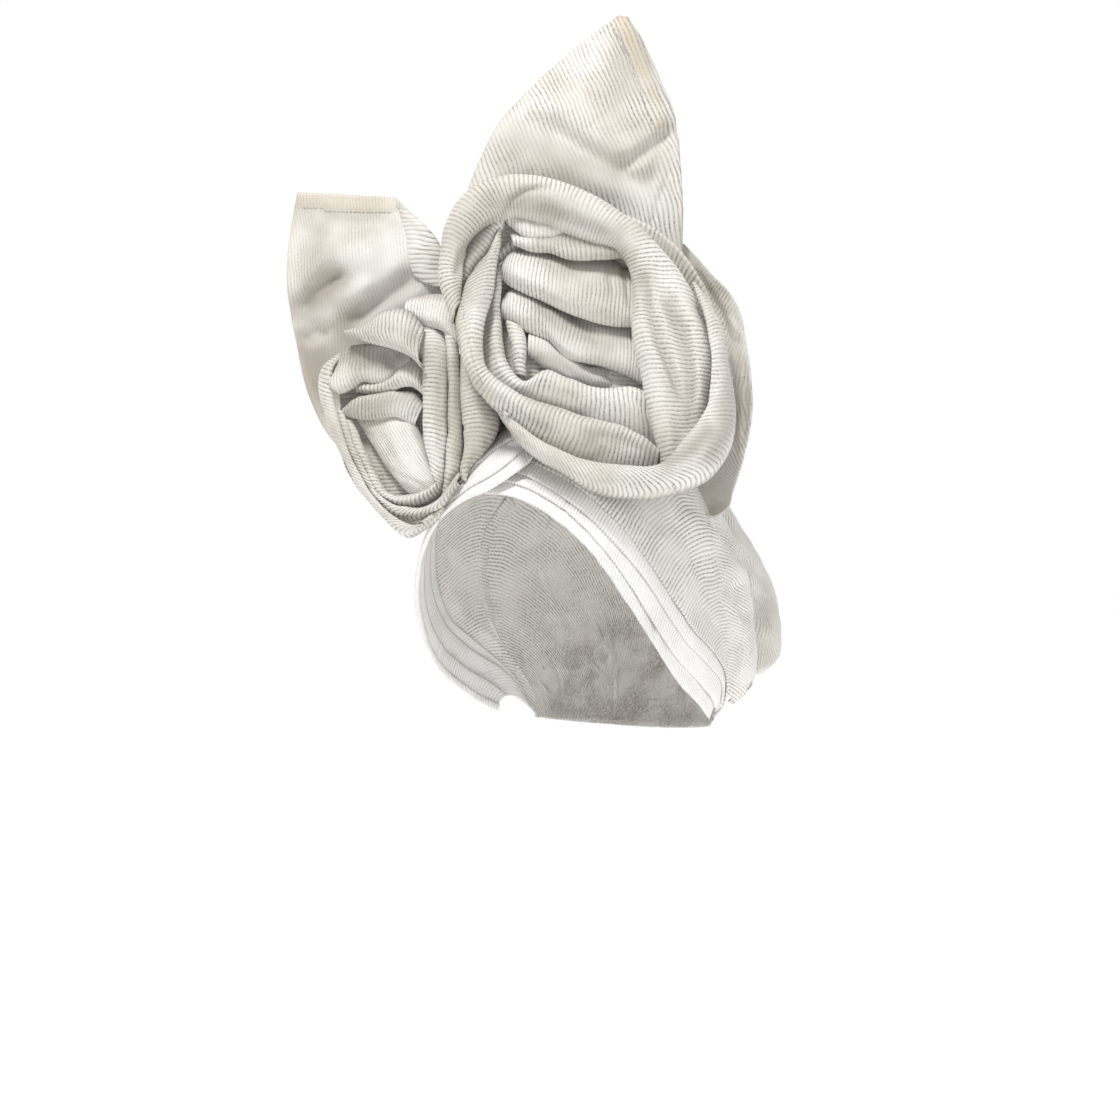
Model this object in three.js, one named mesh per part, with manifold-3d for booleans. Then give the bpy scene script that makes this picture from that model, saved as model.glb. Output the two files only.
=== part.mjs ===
// A tied gele head tie: a ribbed cloth wrapped over the head, with two roses and two leaves.
// Millimetres, +Z up. The origin is the top of the head under the crown, and the face looks along -Y.
import * as THREE from 'three';
import { mergeVertices } from 'three/addons/utils/BufferGeometryUtils.js';
import Module from 'manifold-3d';

const wasm = await Module();
wasm.setup();

// Cloth: its thickness, and the gap where one fold is cut back from another
const wall = 1.5;
const pleatWall = 1.2;
const clearance = 0.45;
const simplifyWithin = 0.08;
const sliver = 0.001;

// Head: an ellipsoid that the wrap lies on, and the line between the ears that the wrap turns about
const head = { halfWidth: 76, halfDepth: 96, halfHeight: 105 };
const ears = { y: 30, z: -162 };

// Wrap: each pleat lies one step over the one before it, and reaches on under it
const wrapOut = 1.6;
const pleatStep = 1.6;
const pleatOverlap = 1.6;
const pleatPoints = 3;
const leftPleatSteps = 9;
const rightPleatSteps = 13;
const browCentre = { line3: 55, line2: 52 };
const napeAngle = 188;
const crownReach = 79;
const crownSteps = 16;
const crownPoints = 8;

// Folds that lie on the crown start just clear of it
const seatGap = 0.55;
const seatHeight = wrapOut + seatGap + wall;
const lipCurl = 4.2;
const sideFoldSteps = 10;
const puffSteps = 12;
const puffCrest = 0.72;
const puffLip = 0.42;

// Flowers: they face a direction turned from the face by this angle
const flowerTurn = 34;
const largeRose = { x: 7, z: 32, out: 70, slopeX: 0, slopeZ: -0.27 };
const smallRose = { x: -97, z: -9, out: 46, slopeX: 0.45, slopeZ: -0.15 };
const leafFrame = { x: 0, z: 0, out: 0, slopeX: 0, slopeZ: 0 };

// Folds of the flowers: the curl of a free rim, and the walls where a fold is narrow or flat
const rimCurl = 2.4;
const valleyWidth = 22;
const narrowWall = 0.18;
const flatWall = 0.4;
const longFold = 9;
const longFoldSteps = 12;

// Cups
const cupSteps = 18;
const cupLevels = 3;
const cupBelly = 5;

const clothColour = '#dcd8cf';
const shadeColour = '#c9c3b8';

const readTable = (columns, rows) =>
  rows.map((row) => Object.fromEntries(columns.map((name, i) => [name, row[i]])));

// Angles are in degrees: across grows towards the left ear, over from the brow to the nape.
const lineColumns = ['across', 'edge', 'line1', 'line2', 'line3'];
const pleatLines = readTable(lineColumns, [
  [-1, 46.8, 49.6, 52.3, 56.5],
  [8, 46.0, 48.7, 50.6, 53.8],
  [20, 42.5, 45.4, 48.0, 52.0],
  [30, 37.2, 40.8, 45.6, 50.0],
  [42, 30.0, 35.0, 42.3, 48.0],
  [52, 25.0, 32.8, 43.0, 50.5],
  [65, 22.5, 36.0, 55.0, 69.0],
  [76, 19.0, 46.0, 88.0, 110.0],
  [80, 19.0, 54.0, 110.0, 132.0],
]);

// Near the brow's centre the right pleats turn up and cross over the left ones.
const crossColumns = ['across', 'edge', 'across1', 'line1', 'across2', 'line2', 'across3', 'line3', 'lift'];
const crossingRows = readTable(crossColumns, [
  [-13, 44.2, -13, 46.4, -13, 49.4, -13, 53.0, 0.6],
  [-7, 44.8, -7, 46.7, -7, 50.2, -7, 55.5, 2.6],
  [-3, 45.4, -3, 47.8, -3.5, 53.0, -4, 58.5, 4.4],
  [0.5, 46.5, 0, 49.5, -1.5, 55.5, -2.6, 60.5, 4.8],
  [3.5, 49.2, 2.4, 52.5, 0.5, 57.5, -1, 62.5, 5.0],
  [5.6, 53.0, 3.4, 56.0, 2, 60.0, 1, 64.5, 5.0],
  [6.6, 58.5, 4.8, 60.5, 3.6, 63.5, 2.5, 67.0, 5.0],
]);

// The fold over each ear: where it starts on the crown, and its free lip.
const sideColumns = ['startAcross', 'startOver', 'lipAcross', 'lipOver', 'lipHeight'];
const sideFoldRows = readTable(sideColumns, [
  [26, 84, 30, 96, 6],
  [36, 78, 40, 101, 9],
  [50, 78, 54, 109, 13],
  [61, 88, 63, 118, 16],
  [68, 108, 66, 134, 14],
  [72, 128, 68, 150, 9],
]);

// The puff at the back of the head, from ear to ear.
const puffColumns = ['across', 'top', 'bottom', 'height'];
const backPuffRows = readTable(puffColumns, [
  [-63, 125, 133, 6],
  [-58, 119, 137, 17],
  [-46, 109, 144, 26],
  [-24, 99, 151, 29],
  [0, 96, 155, 29],
  [24, 99, 151, 29],
  [46, 109, 144, 26],
  [58, 119, 137, 17],
  [63, 125, 133, 6],
]);

// A fold is a row for each section: its free rim, its hidden root and how far it bulges between.
const foldColumns = ['rimX', 'rimZ', 'rimOut', 'rootX', 'rootZ', 'rootOut', 'bulge', 'valley'];
const fold = (rows) => readTable(foldColumns, rows.map((row) => [...row, 0].slice(0, 8)));

const largeRoseFolds = {
  outer_roll: {
    shape: 'roll',
    rows: fold([
      [-69, 21.5, -8, -73, 11.5, -13, 5],
      [-70, 40, -4, -76.5, 38.5, -12, 7],
      [-64.5, 55.5, -3, -75, 59.5, -12, 9],
      [-52, 67.5, -3, -64, 77.5, -12, 12],
      [-40, 69.5, -4, -43.5, 85.5, -12, 14],
      [-23.5, 65.5, -4, -20, 82.5, -12, 15],
      [-4, 57.5, -4, 4, 71.5, -12, 14],
      [12.5, 51, -5, 27.5, 54, -12, 12],
      [19.5, 35, -8, 47.5, 32.5, -12, 12, 2],
      [18.5, 12.5, -10, 59, 7.5, -10, 12, 5],
      [23.5, -15, -11, 61, -17.5, -8, 12, 6],
      [28.5, -40, -10, 58.5, -40, -8, 10, 4],
      [32, -57.5, -9, 50, -53.5, -9, 7, 2],
    ]),
  },
  bottom_roll: {
    shape: 'petal',
    rows: fold([
      [51.5, 27.5, 2, 54, 25.5, -6, 2],
      [58, 5, 5, 64, 5, -11, 4],
      [59.5, -15, 8, 67, -20, -13, 6],
      [55.5, -33.5, 10, 70, -37, -14, 9],
      [45.5, -47.5, 11, 67.5, -56, -14, 12],
      [33, -61, 11, 52.5, -71.5, -14, 12],
      [15, -62, 8, 27.5, -78.5, -14, 11],
      [-5, -59.5, 6, 2.5, -76, -14, 10],
      [-23.5, -52, 4, -18.5, -65, -14, 9],
      [-40, -39.5, 2, -35, -54, -13, 8],
      [-51, -28.5, -3, -46.5, -40, -12, 6],
    ]),
  },
  hem_petal: {
    shape: 'petal',
    rows: fold([
      [-48, 62, -11, -51, 57, -13, 3],
      [-49, 52.5, -7, -56, 46.5, -12, 4],
      [-50.5, 39.5, -3, -66.5, 34.5, -13, 5],
      [-52, 27.5, -1, -71, 22, -14, 6],
      [-56.5, 10, 0, -71, 7.5, -12, 6],
      [-57.5, -5.5, 0, -65.5, -10.5, -11, 5],
      [-51.5, -16.5, 0, -57.5, -25.5, -9, 5],
      [-35, -26.5, -1, -41.5, -42.5, -7, 6],
      [-15, -33, -2, -23.5, -56.5, -6, 6],
      [4.5, -39, -2, -2.5, -64.5, -6, 6],
      [22.5, -45.5, -4, 16.5, -66.5, -6, 5],
      [33, -53.5, -8, 30.5, -65, -8, 3],
    ]),
  },
  left_band: {
    shape: 'petal',
    rows: fold([
      [-45.5, 67.5, -12, -49, 71, -16, 3],
      [-48.5, 59.5, -12, -56.5, 65.5, -16, 4],
      [-55.5, 49.5, -12, -64.5, 57.5, -16, 4],
      [-62.5, 40.5, -13, -70, 45.5, -17, 4],
      [-66, 28, -17, -72, 31, -19, 3],
    ]),
  },
  lower_petal: {
    shape: 'petal',
    rows: fold([
      [-47, 45, -13, -50, 41.5, -17, 2],
      [-48.5, 25, -11, -54, 22.5, -15, 3],
      [-47.5, 6.5, -10, -58, 4, -13, 4],
      [-44, -9.5, -9, -57, -15, -13, 4],
      [-35.5, -18.5, -9, -45, -28.5, -12, 5],
      [-24.5, -12.5, -10, -29.5, -33.5, -11, 5],
      [-12.5, -16.5, -10, -15, -39.5, -11, 6],
      [2.5, -21, -10, 1.5, -44.5, -12, 6],
      [17.5, -21, -11, 18.5, -50.5, -13, 5],
      [27.5, -23.5, -15, 32.5, -52.5, -17, 3],
    ]),
  },
  loop: {
    shape: 'roll',
    rows: fold([
      [-45.5, 13.5, -14, -37, 9.5, -14, 4],
      [-43, 2.5, -13, -35, 2.5, -13, 5],
      [-42, -6.5, -13, -34.5, -7.5, -13, 5],
      [-40, -15, -14, -35, -16, -14, 3],
    ]),
  },
  heart: {
    shape: 'roll',
    rows: fold([
      [-33.5, 6.5, -16, -34.5, -4.5, -15, 5],
      [-23.5, 3.5, -16, -25, -11.5, -15, 5],
      [-16.5, -3.5, -18, -14.5, -16.5, -17, 4],
      [-4.5, -9, -21, -0.5, -20.5, -20, 4],
      [10, -10.5, -24, 12.5, -21.5, -24, 3],
      [22.5, -15.5, -26, 23.5, -21.5, -26, 2],
    ]),
  },
  fold_3: {
    shape: 'petal',
    rows: fold([
      [-47.5, 16.5, -15, -47, 26.5, -21, 5],
      [-40.5, 11, -12, -40.5, 33.5, -21, 7],
      [-24.5, 4, -12, -25, 28.5, -21, 7],
      [-14.5, -6, -13, -10.5, 20, -21, 6],
      [2.5, -9.5, -14, 5.5, 15.5, -21, 5],
      [15.5, -14, -15, 17.5, 13.5, -21, 4],
      [25.5, -20, -17, 24.5, 7.5, -21, 3],
    ]),
  },
  fold_2: {
    shape: 'petal',
    rows: fold([
      [-49, 37.5, -14, -45.5, 48.5, -20, 4],
      [-42, 31.5, -10, -40, 52.5, -20, 7],
      [-27.5, 24.5, -9, -25, 52.5, -20, 8],
      [-10, 16, -9, -6.5, 49.5, -20, 8],
      [5.5, 12, -10, 8.5, 46.5, -20, 7],
      [21.5, 10, -13, 20.5, 38.5, -20, 5],
    ]),
  },
  fold_1: {
    shape: 'petal',
    rows: fold([
      [-42, 54, -9, -43.5, 58, -11, 2],
      [-31.5, 50, -6, -32.5, 56, -10, 3],
      [-22, 49, -4, -22, 58.5, -9, 4],
      [-11.5, 45, -2, -12.5, 61.5, -10, 5],
      [2.5, 45.5, -2, 1.5, 55.5, -10, 4],
      [14.5, 47, -7, 13.5, 50.5, -11, 2],
    ]),
  },
  top_petal: {
    shape: 'petal',
    rows: fold([
      [-45, 65.5, -10, -44, 71, -17, 3],
      [-36.5, 58.5, -8, -37.5, 74.5, -19, 4],
      [-23.5, 57, -9, -25, 75.5, -19, 4],
      [-9.5, 60.5, -12, -10.5, 69.5, -18, 3],
    ]),
  },
};

const smallRoseFolds = {
  rim_1: {
    shape: 'petal',
    rows: fold([
      [-25, 46, 0, -27, 48, -8, 2],
      [-33, 32, 1, -36.5, 33, -12, 3],
      [-33.5, 20, 2, -39, 22.5, -12, 4],
      [-29.5, 5, 2, -36.5, 10.5, -12, 4],
      [-23.5, -11.5, 2, -28.5, -9.5, -12, 4],
      [-13, -31, 2, -19, -28, -12, 4],
      [0, -45, 2, -5, -46, -12, 4],
      [13, -50.5, 2, 9, -56.5, -11, 4],
      [24.5, -43.5, 1, 21.5, -55.5, -9, 4],
    ]),
  },
  rim_2: {
    shape: 'petal',
    rows: fold([
      [-28, 10, -4, -31, 9, -9, 2],
      [-22.5, -5, -4, -26, -5.5, -10, 3],
      [-15, -21, -4, -19.5, -20, -10, 3],
      [-5, -36.5, -4, -10.5, -34.5, -10, 3],
      [10, -41.5, -4, 6, -48, -10, 3],
      [23.5, -38, -4, 23, -44, -10, 3],
      [34.5, -24, -4, 36, -30, -9, 3],
    ]),
  },
  rim_3: {
    shape: 'petal',
    rows: fold([
      [-23, 5.5, -8, -26, 4.5, -12, 2],
      [-17, -8, -8, -21.5, -8.5, -12, 3],
      [-10, -23, -8, -15, -23, -12, 3],
      [-2, -33.5, -8, -7, -37, -12, 3],
      [9, -34.5, -8, 9, -41, -12, 3],
      [22, -28, -8, 24, -35, -12, 3],
      [26, -21, -9, 30, -26, -12, 2],
    ]),
  },
  tongue: {
    shape: 'roll',
    rows: fold([
      [-17, 5, -15, 4, 5, -15, 5],
      [-12, -6, -14, 9.5, -4, -13, 6],
      [-4.5, -18.5, -13, 15, -14.5, -11, 6],
      [4.5, -28.5, -12, 22, -26.5, -10, 3],
    ]),
  },
  spear: {
    shape: 'roll',
    rows: fold([
      [-28, 11, -5, -28, 9, -5, 2],
      [-19, 15.5, -6, -18.5, 7, -5, 4],
      [-5, 20, -9, -4.5, 5.5, -8, 5],
      [7, 18, -13, 5.5, 4.5, -12, 4],
      [15, 12.5, -15, 10.5, 1.5, -14, 3],
    ]),
  },
  upper_petal: {
    shape: 'petal',
    rows: fold([
      [-33, 23, -3, -34, 30.5, -7, 3],
      [-24, 21.5, -3, -26, 37.5, -9, 5],
      [-14, 20, -4, -16.5, 34.5, -11, 5],
      [-1.5, 21.5, -6, -4.5, 29, -10, 4],
      [7, 23.5, -8, 5, 35.5, -11, 5],
      [15.5, 17, -9, 15, 29, -12, 3],
    ]),
  },
  back_petal: {
    shape: 'leaf',
    rows: fold([
      [-22.5, 31, -14, -27.5, 43, -9, 1],
      [-12, 27, -16, -15, 46, -9, 1],
      [0.5, 26, -17, 2.5, 43, -9, 1],
      [9, 28, -16, 10, 40, -9, 1],
    ]),
  },
  top_flap: {
    shape: 'petal',
    rows: fold([
      [-25.5, 49.5, 1, -25, 52, -4, 2],
      [-12.5, 45, 3, -14, 56.5, -7, 4],
      [0.5, 41, 4, -3.5, 62.5, -9, 6],
      [9, 36.5, 4, 7.5, 61.5, -8, 6],
      [15.5, 30, 2, 16.5, 52, -8, 4],
    ]),
  },
  side_fold_1: {
    shape: 'roll',
    rows: fold([
      [15.5, 38.5, -8, 28, 38.5, -9, 6],
      [16, 18, -8, 28.5, 18, -9, 7],
      [17, -2.5, -8, 28.5, -5, -9, 7],
      [20.5, -21, -8, 27, -25, -9, 5],
      [23.5, -30, -8, 25.5, -31, -9, 2],
    ]),
  },
  side_fold_2: {
    shape: 'roll',
    rows: fold([
      [29, 40, -11, 34, 38.5, -12, 4],
      [29.5, 18, -11, 35, 18, -12, 5],
      [29.5, 0, -11, 36.5, -4, -12, 5],
      [28.5, -16.5, -11, 36, -18.5, -12, 5],
      [27.5, -26, -11, 31, -27, -12, 3],
    ]),
  },
  side_fold_3: {
    shape: 'roll',
    rows: fold([
      [34.5, 38, -12, 39, 36.5, -14, 4],
      [35.5, 18, -12, 48, 21, -17, 7],
      [37, 2.5, -12, 55.5, 3, -18, 9],
      [37, -10.5, -12, 49.5, -11, -17, 7],
      [34, -22, -12, 38.5, -22, -14, 3],
    ]),
  },
  bridge_fold: {
    shape: 'petal',
    rows: fold([
      [7.5, 59, -10, 9, 69, -14, 3],
      [15, 55, -12, 16, 70, -16, 4],
      [26, 49, -12, 26, 70, -17, 5],
      [33, 44, -15, 34, 66, -20, 5],
      [40, 40, -20, 42, 56, -24, 4],
    ]),
  },
};

// Leaves: a row for each section across, from the base up or from the corner down.
const leaves = {
  tall_leaf: fold([
    [-33, -12, 0, 24, -12, 2, -2],
    [-46, 20, 5, 42, 20, 6, 3],
    [-59, 60, 8, 55, 60, 9, 7],
    [-61, 88, 9, 54, 82, 11, 9],
    [-60, 115, 9, 54, 108, 12, 11],
    [-51.5, 137, 9, 53, 129, 12, 11],
    [-41, 156, 8, 50, 156, 10, 9],
    [-17, 181, 6, 43.5, 174, 8, 7],
    [5, 199.5, 5, 34, 195.5, 6, 4],
    [19.5, 210.5, 5, 25, 209.5, 5, 1],
  ]),
  left_leaf: fold([
    [-149.5, 118, 0, -97, 113.5, 10, 2],
    [-153.5, 97, -2, -79, 95.5, 16, 4],
    [-155.5, 79, -4, -71, 78, 19, 5],
    [-154, 59, -6, -67, 58.5, 18, 5],
    [-150.5, 35.5, -8, -64, 35, 12, 4],
    [-144, 9.5, -9, -60, 9, 4, 2],
    [-132, -13, -9, -56, -16, 0, 2],
    [-108, -34, -8, -54, -36, -4, 2],
  ]),
  left_leaf_flap: fold([
    [-96.5, 110, 13, -94, 108.5, 14, 1],
    [-93, 96.5, 14, -79.5, 96.5, 20, 2],
    [-91, 84, 16, -72, 85, 23, 3],
    [-88, 73.5, 17, -70.5, 73.5, 23, 2],
    [-82, 68, 19, -70, 64, 23, 1],
  ]),
  rear_petal: fold([
    [30, 96, -2, 55, 90, 4, 1],
    [2, 82, -8, 64.5, 79, 10, -4],
    [-16, 62, -12, 81, 58, 16, -8],
    [-26, 36, -14, 86.5, 36, 20, -12],
    [-32, 8, -14, 89.5, 8, 22, -12],
    [-28, -14, -12, 87.5, -14, 21, -10],
    [-14, -34, -8, 81, -36, 20, -8],
    [12, -46, 4, 68, -49, 18, -4],
  ]),
};

// Cups: the gathered backs of the roses, from the rim's ellipse to the gather on the crown.
const cups = {
  large_rose_cup: {
    rim: { x: 5, z: 30, out: 52, halfX: 66, halfZ: 75, slopeX: 0, slopeZ: -0.27 },
    gather: { x: 2, z: 4, out: 24, halfX: 25, halfZ: 15, slopeX: 0, slopeZ: -0.1 },
    gathers: 9,
    ripple: 0.05,
  },
  small_rose_cup: {
    rim: { x: -88, z: -7, out: 31, halfX: 39, halfZ: 48, slopeX: 0.45, slopeZ: -0.15 },
    gather: { x: -58, z: -22, out: 8, halfX: 19, halfZ: 17, slopeX: 0.3, slopeZ: 0 },
    gathers: 7,
    ripple: 0.05,
  },
};

const vec = (x, y, z) => new THREE.Vector3(x, y, z);
const smooth = (t) => t * t * (3 - 2 * t);

// A curve through the points, and the same for a single value.
const curveThrough = (points) => new THREE.CatmullRomCurve3(points, false, 'catmullrom', 0.5);
const valueThrough = (values) => {
  const curve = curveThrough(values.map((value, i) => vec(i, value, 0)));
  return (t) => curve.getPoint(t).y;
};

// A point of the wrap: across and over are angles about the ears, height is its distance off the head.
function onHead(across, over, height) {
  const a = THREE.MathUtils.degToRad(across);
  const o = THREE.MathUtils.degToRad(over);
  const ray = vec(Math.sin(a), -Math.cos(a) * Math.cos(o), Math.cos(a) * Math.sin(o));
  const start = vec(0, ears.y, ears.z + head.halfHeight);
  const scale = vec(1 / head.halfWidth, 1 / head.halfDepth, 1 / head.halfHeight);
  const scaledRay = ray.clone().multiply(scale);
  const scaledStart = start.clone().multiply(scale);
  const b = scaledRay.dot(scaledStart);
  const reach = (-b + Math.sqrt(b * b - scaledRay.lengthSq() * (scaledStart.lengthSq() - 1)))
    / scaledRay.lengthSq();
  const point = start.addScaledVector(ray, reach);
  const normal = point.clone().multiply(scale).multiply(scale).normalize();
  point.z -= head.halfHeight;
  return point.addScaledVector(normal, height);
}

// Closed sheet from stations, each with the points of its outer and its inner face.
function sheet(stations, around = false) {
  const across = stations[0].outer.length;
  const ring = 2 * across;
  const positions = [];
  for (const { outer, inner } of stations) {
    for (const p of [...outer, ...inner.slice().reverse()]) positions.push(p.x, p.y, p.z);
  }
  const index = [];
  const quad = (a, b, c, d) => index.push(a, b, c, a, c, d);
  const spans = around ? stations.length : stations.length - 1;
  for (let i = 0; i < spans; i += 1) {
    const here = i * ring;
    const next = ((i + 1) % stations.length) * ring;
    for (let j = 0; j < ring; j += 1) {
      const k = (j + 1) % ring;
      quad(here + j, here + k, next + k, next + j);
    }
  }
  if (!around) {
    const last = (stations.length - 1) * ring;
    for (let j = 0; j < across - 1; j += 1) {
      const opposite = ring - 1 - j;
      quad(opposite, opposite - 1, j + 1, j);
      quad(last + j, last + j + 1, last + opposite - 1, last + opposite);
    }
  }
  const geometry = new THREE.BufferGeometry();
  geometry.setAttribute('position', new THREE.Float32BufferAttribute(positions, 3));
  geometry.setIndex(index);
  return faceOut(geometry);
}

function signedVolume(geometry) {
  const position = geometry.getAttribute('position');
  const corner = (i) => vec().fromBufferAttribute(position, geometry.index.getX(i));
  let total = 0;
  for (let i = 0; i < geometry.index.count; i += 3) {
    total += corner(i).dot(corner(i + 1).cross(corner(i + 2))) / 6;
  }
  return total;
}

function faceOut(geometry) {
  if (signedVolume(geometry) > 0) return geometry;
  const order = geometry.index.array;
  for (let i = 0; i < order.length; i += 3) [order[i], order[i + 1]] = [order[i + 1], order[i]];
  return geometry;
}

// Section lines, flat: x runs from the rim to the root, y is out towards the viewer.
const sections = {
  petal(width, bulge) {
    const curl = Math.min(rimCurl, width * 0.3);
    const line = [];
    for (const degrees of [245, 150]) {
      const a = THREE.MathUtils.degToRad(degrees);
      line.push([curl + curl * Math.cos(a), curl * Math.sin(a) - curl * 0.7]);
    }
    for (const t of [0.24, 0.6, 1]) {
      line.push([width * t, bulge * Math.sin(Math.PI * t ** 0.7)]);
    }
    return line;
  },
  roll(width, bulge, valley) {
    const line = [];
    for (const degrees of [-30, 15, 55, 90, 125, 165, 210]) {
      const a = THREE.MathUtils.degToRad(degrees);
      const dip = valley * Math.exp(-(((degrees - 90) / valleyWidth) ** 2));
      line.push([width * (0.5 - 0.5 * Math.cos(a)), bulge * Math.sin(a) - dip]);
    }
    return line;
  },
  leaf(width, bulge) {
    const line = [];
    for (let i = 0; i <= 5; i += 1) {
      const t = i / 5;
      line.push([width * t, bulge * 4 * t * (1 - t)]);
    }
    return line;
  },
};

// The two faces of a section line, one wall apart.
function thicken(line, thickness) {
  const faces = { outer: [], inner: [] };
  line.forEach(([x, y], i) => {
    const before = line[Math.max(i - 1, 0)];
    const after = line[Math.min(i + 1, line.length - 1)];
    const length = Math.hypot(after[0] - before[0], after[1] - before[1]);
    const nx = -(after[1] - before[1]) / length;
    const ny = (after[0] - before[0]) / length;
    faces.outer.push([x, y]);
    faces.inner.push([x - nx * thickness, y - ny * thickness]);
  });
  return faces;
}

// A point in a flower's frame: x to the side, z up, out towards the viewer.
const inFrame = (frame, x, z, out) =>
  vec(frame.x + x, -(frame.out + frame.slopeX * x + frame.slopeZ * z + out), frame.z + z);

function foldSheet(frame, rows, shape, steps) {
  const rim = curveThrough(rows.map((r) => inFrame(frame, r.rimX, r.rimZ, r.rimOut)));
  const root = curveThrough(rows.map((r) => inFrame(frame, r.rootX, r.rootZ, r.rootOut)));
  const bulge = valueThrough(rows.map((r) => r.bulge));
  const valley = valueThrough(rows.map((r) => r.valley));
  const front = vec(-frame.slopeX, -1, -frame.slopeZ).normalize();
  const stations = [];
  for (let i = 0; i <= steps; i += 1) {
    const t = i / steps;
    const start = rim.getPoint(t);
    const along = root.getPoint(t).sub(start);
    const width = along.length();
    along.normalize();
    const out = front.clone().addScaledVector(along, -front.dot(along)).normalize();
    const line = sections[shape](width, bulge(t), valley(t));
    const thin = Math.min(wall, width * narrowWall, bulge(t) * flatWall);
    const faces = thicken(line, shape === 'leaf' ? wall : thin);
    const lift = ([x, y]) => start.clone().addScaledVector(along, x).addScaledVector(out, y);
    stations.push({ outer: faces.outer.map(lift), inner: faces.inner.map(lift) });
  }
  return sheet(stations);
}

function cupSheet({ rim, gather, gathers, ripple }) {
  const stations = [];
  for (let i = 0; i < cupSteps; i += 1) {
    const a = (2 * Math.PI * i) / cupSteps;
    const pinch = 1 + ripple * Math.cos(gathers * a);
    const ringPoint = (ring, scale) => inFrame(ring, ring.halfX * scale * Math.cos(a),
      ring.halfZ * scale * Math.sin(a), 0);
    const face = (inset) => {
      const points = [];
      for (let j = 0; j <= cupLevels; j += 1) {
        const t = j / cupLevels;
        const from = ringPoint(rim, 1 - inset / rim.halfX);
        const to = ringPoint(gather, pinch * (1 - inset / gather.halfX));
        const point = from.lerp(to, t);
        const belly = Math.sin(Math.PI * t) * cupBelly;
        point.x += belly * Math.cos(a);
        point.z += belly * Math.sin(a);
        points.push(point);
      }
      return points;
    };
    stations.push({ outer: face(0), inner: face(wall) });
  }
  return sheet(stations, true);
}

// Height of a pleat's outer face: k counts pleats from its own free edge.
const pleatHeight = (k) => wrapOut + pleatStep * Math.max(2 - k, 0);

function pleatStation(front, back, lift) {
  const outer = [];
  const inner = [];
  for (let j = 0; j < pleatPoints; j += 1) {
    const k = (pleatOverlap * j) / (pleatPoints - 1);
    const blend = j / (pleatPoints - 1);
    const across = THREE.MathUtils.lerp(front.across, back.across, blend);
    const over = THREE.MathUtils.lerp(front.over, back.over, blend);
    const height = pleatHeight(k) + lift;
    outer.push(onHead(across, over, height));
    inner.push(onHead(across, over, height - pleatWall));
  }
  return { outer, inner };
}

// The four lines of one side's pleats at each station, then the sheet between two of them.
function pleat(lines, number, steps) {
  const curves = [0, 1, 2, 3].map((n) => ({
    across: valueThrough(lines.map((row) => row.points[n].across)),
    over: valueThrough(lines.map((row) => row.points[n].over)),
  }));
  const lift = valueThrough(lines.map((row) => row.lift));
  const at = (n, t) => ({ across: curves[n].across(t), over: curves[n].over(t) });
  const stations = [];
  for (let i = 0; i <= steps; i += 1) {
    const t = i / steps;
    const front = at(number - 1, t);
    const middle = at(number, t);
    const far = number < 3 ? at(number + 1, t) : null;
    const hidden = pleatOverlap - 1;
    const step = (key) => (far ? far[key] - middle[key] : middle[key] - front[key]);
    const back = {
      across: middle.across + hidden * step('across'),
      over: middle.over + hidden * step('over'),
    };
    stations.push(pleatStation(front, back, lift(t)));
  }
  return sheet(stations);
}

const names = ['edge', 'line1', 'line2', 'line3'];
const leftLines = pleatLines.map((row) => ({
  lift: 0,
  points: names.map((name) => ({ across: row.across, over: row[name] })),
}));
const rightLines = pleatLines.slice(2).reverse().map((row) => ({
  lift: 0,
  points: names.map((name) => ({ across: -row.across, over: row[name] })),
})).concat(crossingRows.map((row) => ({
  lift: row.lift,
  points: names.map((name, n) => ({ across: n ? row[`across${n}`] : row.across, over: row[name] })),
})));

function crownSheet() {
  const frontRows = pleatLines.slice(1);
  const mirrored = frontRows.slice().reverse().map((row) => [-row.across, row.line3, row.line2]);
  const centre = [[0, browCentre.line3, browCentre.line2]];
  const rows = mirrored.concat(centre, frontRows.map((row) => [row.across, row.line3, row.line2]));
  const across = valueThrough(rows.map((row) => row[0]));
  const line3 = valueThrough(rows.map((row) => row[1]));
  const line2 = valueThrough(rows.map((row) => row[2]));
  const stations = [];
  for (let i = 0; i <= crownSteps; i += 1) {
    const t = i / crownSteps;
    const front = line3(t);
    const pitch = front - line2(t);
    const outer = [];
    const inner = [];
    for (let j = 0; j <= crownPoints; j += 1) {
      const s = j / crownPoints;
      const over = THREE.MathUtils.lerp(front, napeAngle, s ** 1.25);
      const k = (over - front) / pitch;
      const side = THREE.MathUtils.clamp(across(t), -crownReach, crownReach);
      const height = pleatHeight(k);
      outer.push(onHead(side, over, height));
      inner.push(onHead(side, over, Math.max(height - wall, 0)));
    }
    stations.push({ outer, inner });
  }
  return sheet(stations);
}

// Sections on the head as [share of the way, height] pairs, ending in a curl at the lip.
function headSheet(stationsIn) {
  const stations = stationsIn.map(({ start, end, line }) => {
    const outer = [];
    const inner = [];
    for (const [share, height, depth] of line) {
      const across = THREE.MathUtils.lerp(start.across, end.across, share);
      const over = THREE.MathUtils.lerp(start.over, end.over, share);
      outer.push(onHead(across, over, height));
      const back = share - depth[0];
      inner.push(onHead(
        THREE.MathUtils.lerp(start.across, end.across, back),
        THREE.MathUtils.lerp(start.over, end.over, back),
        height - depth[1],
      ));
    }
    return { outer, inner };
  });
  return sheet(stations);
}

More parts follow.
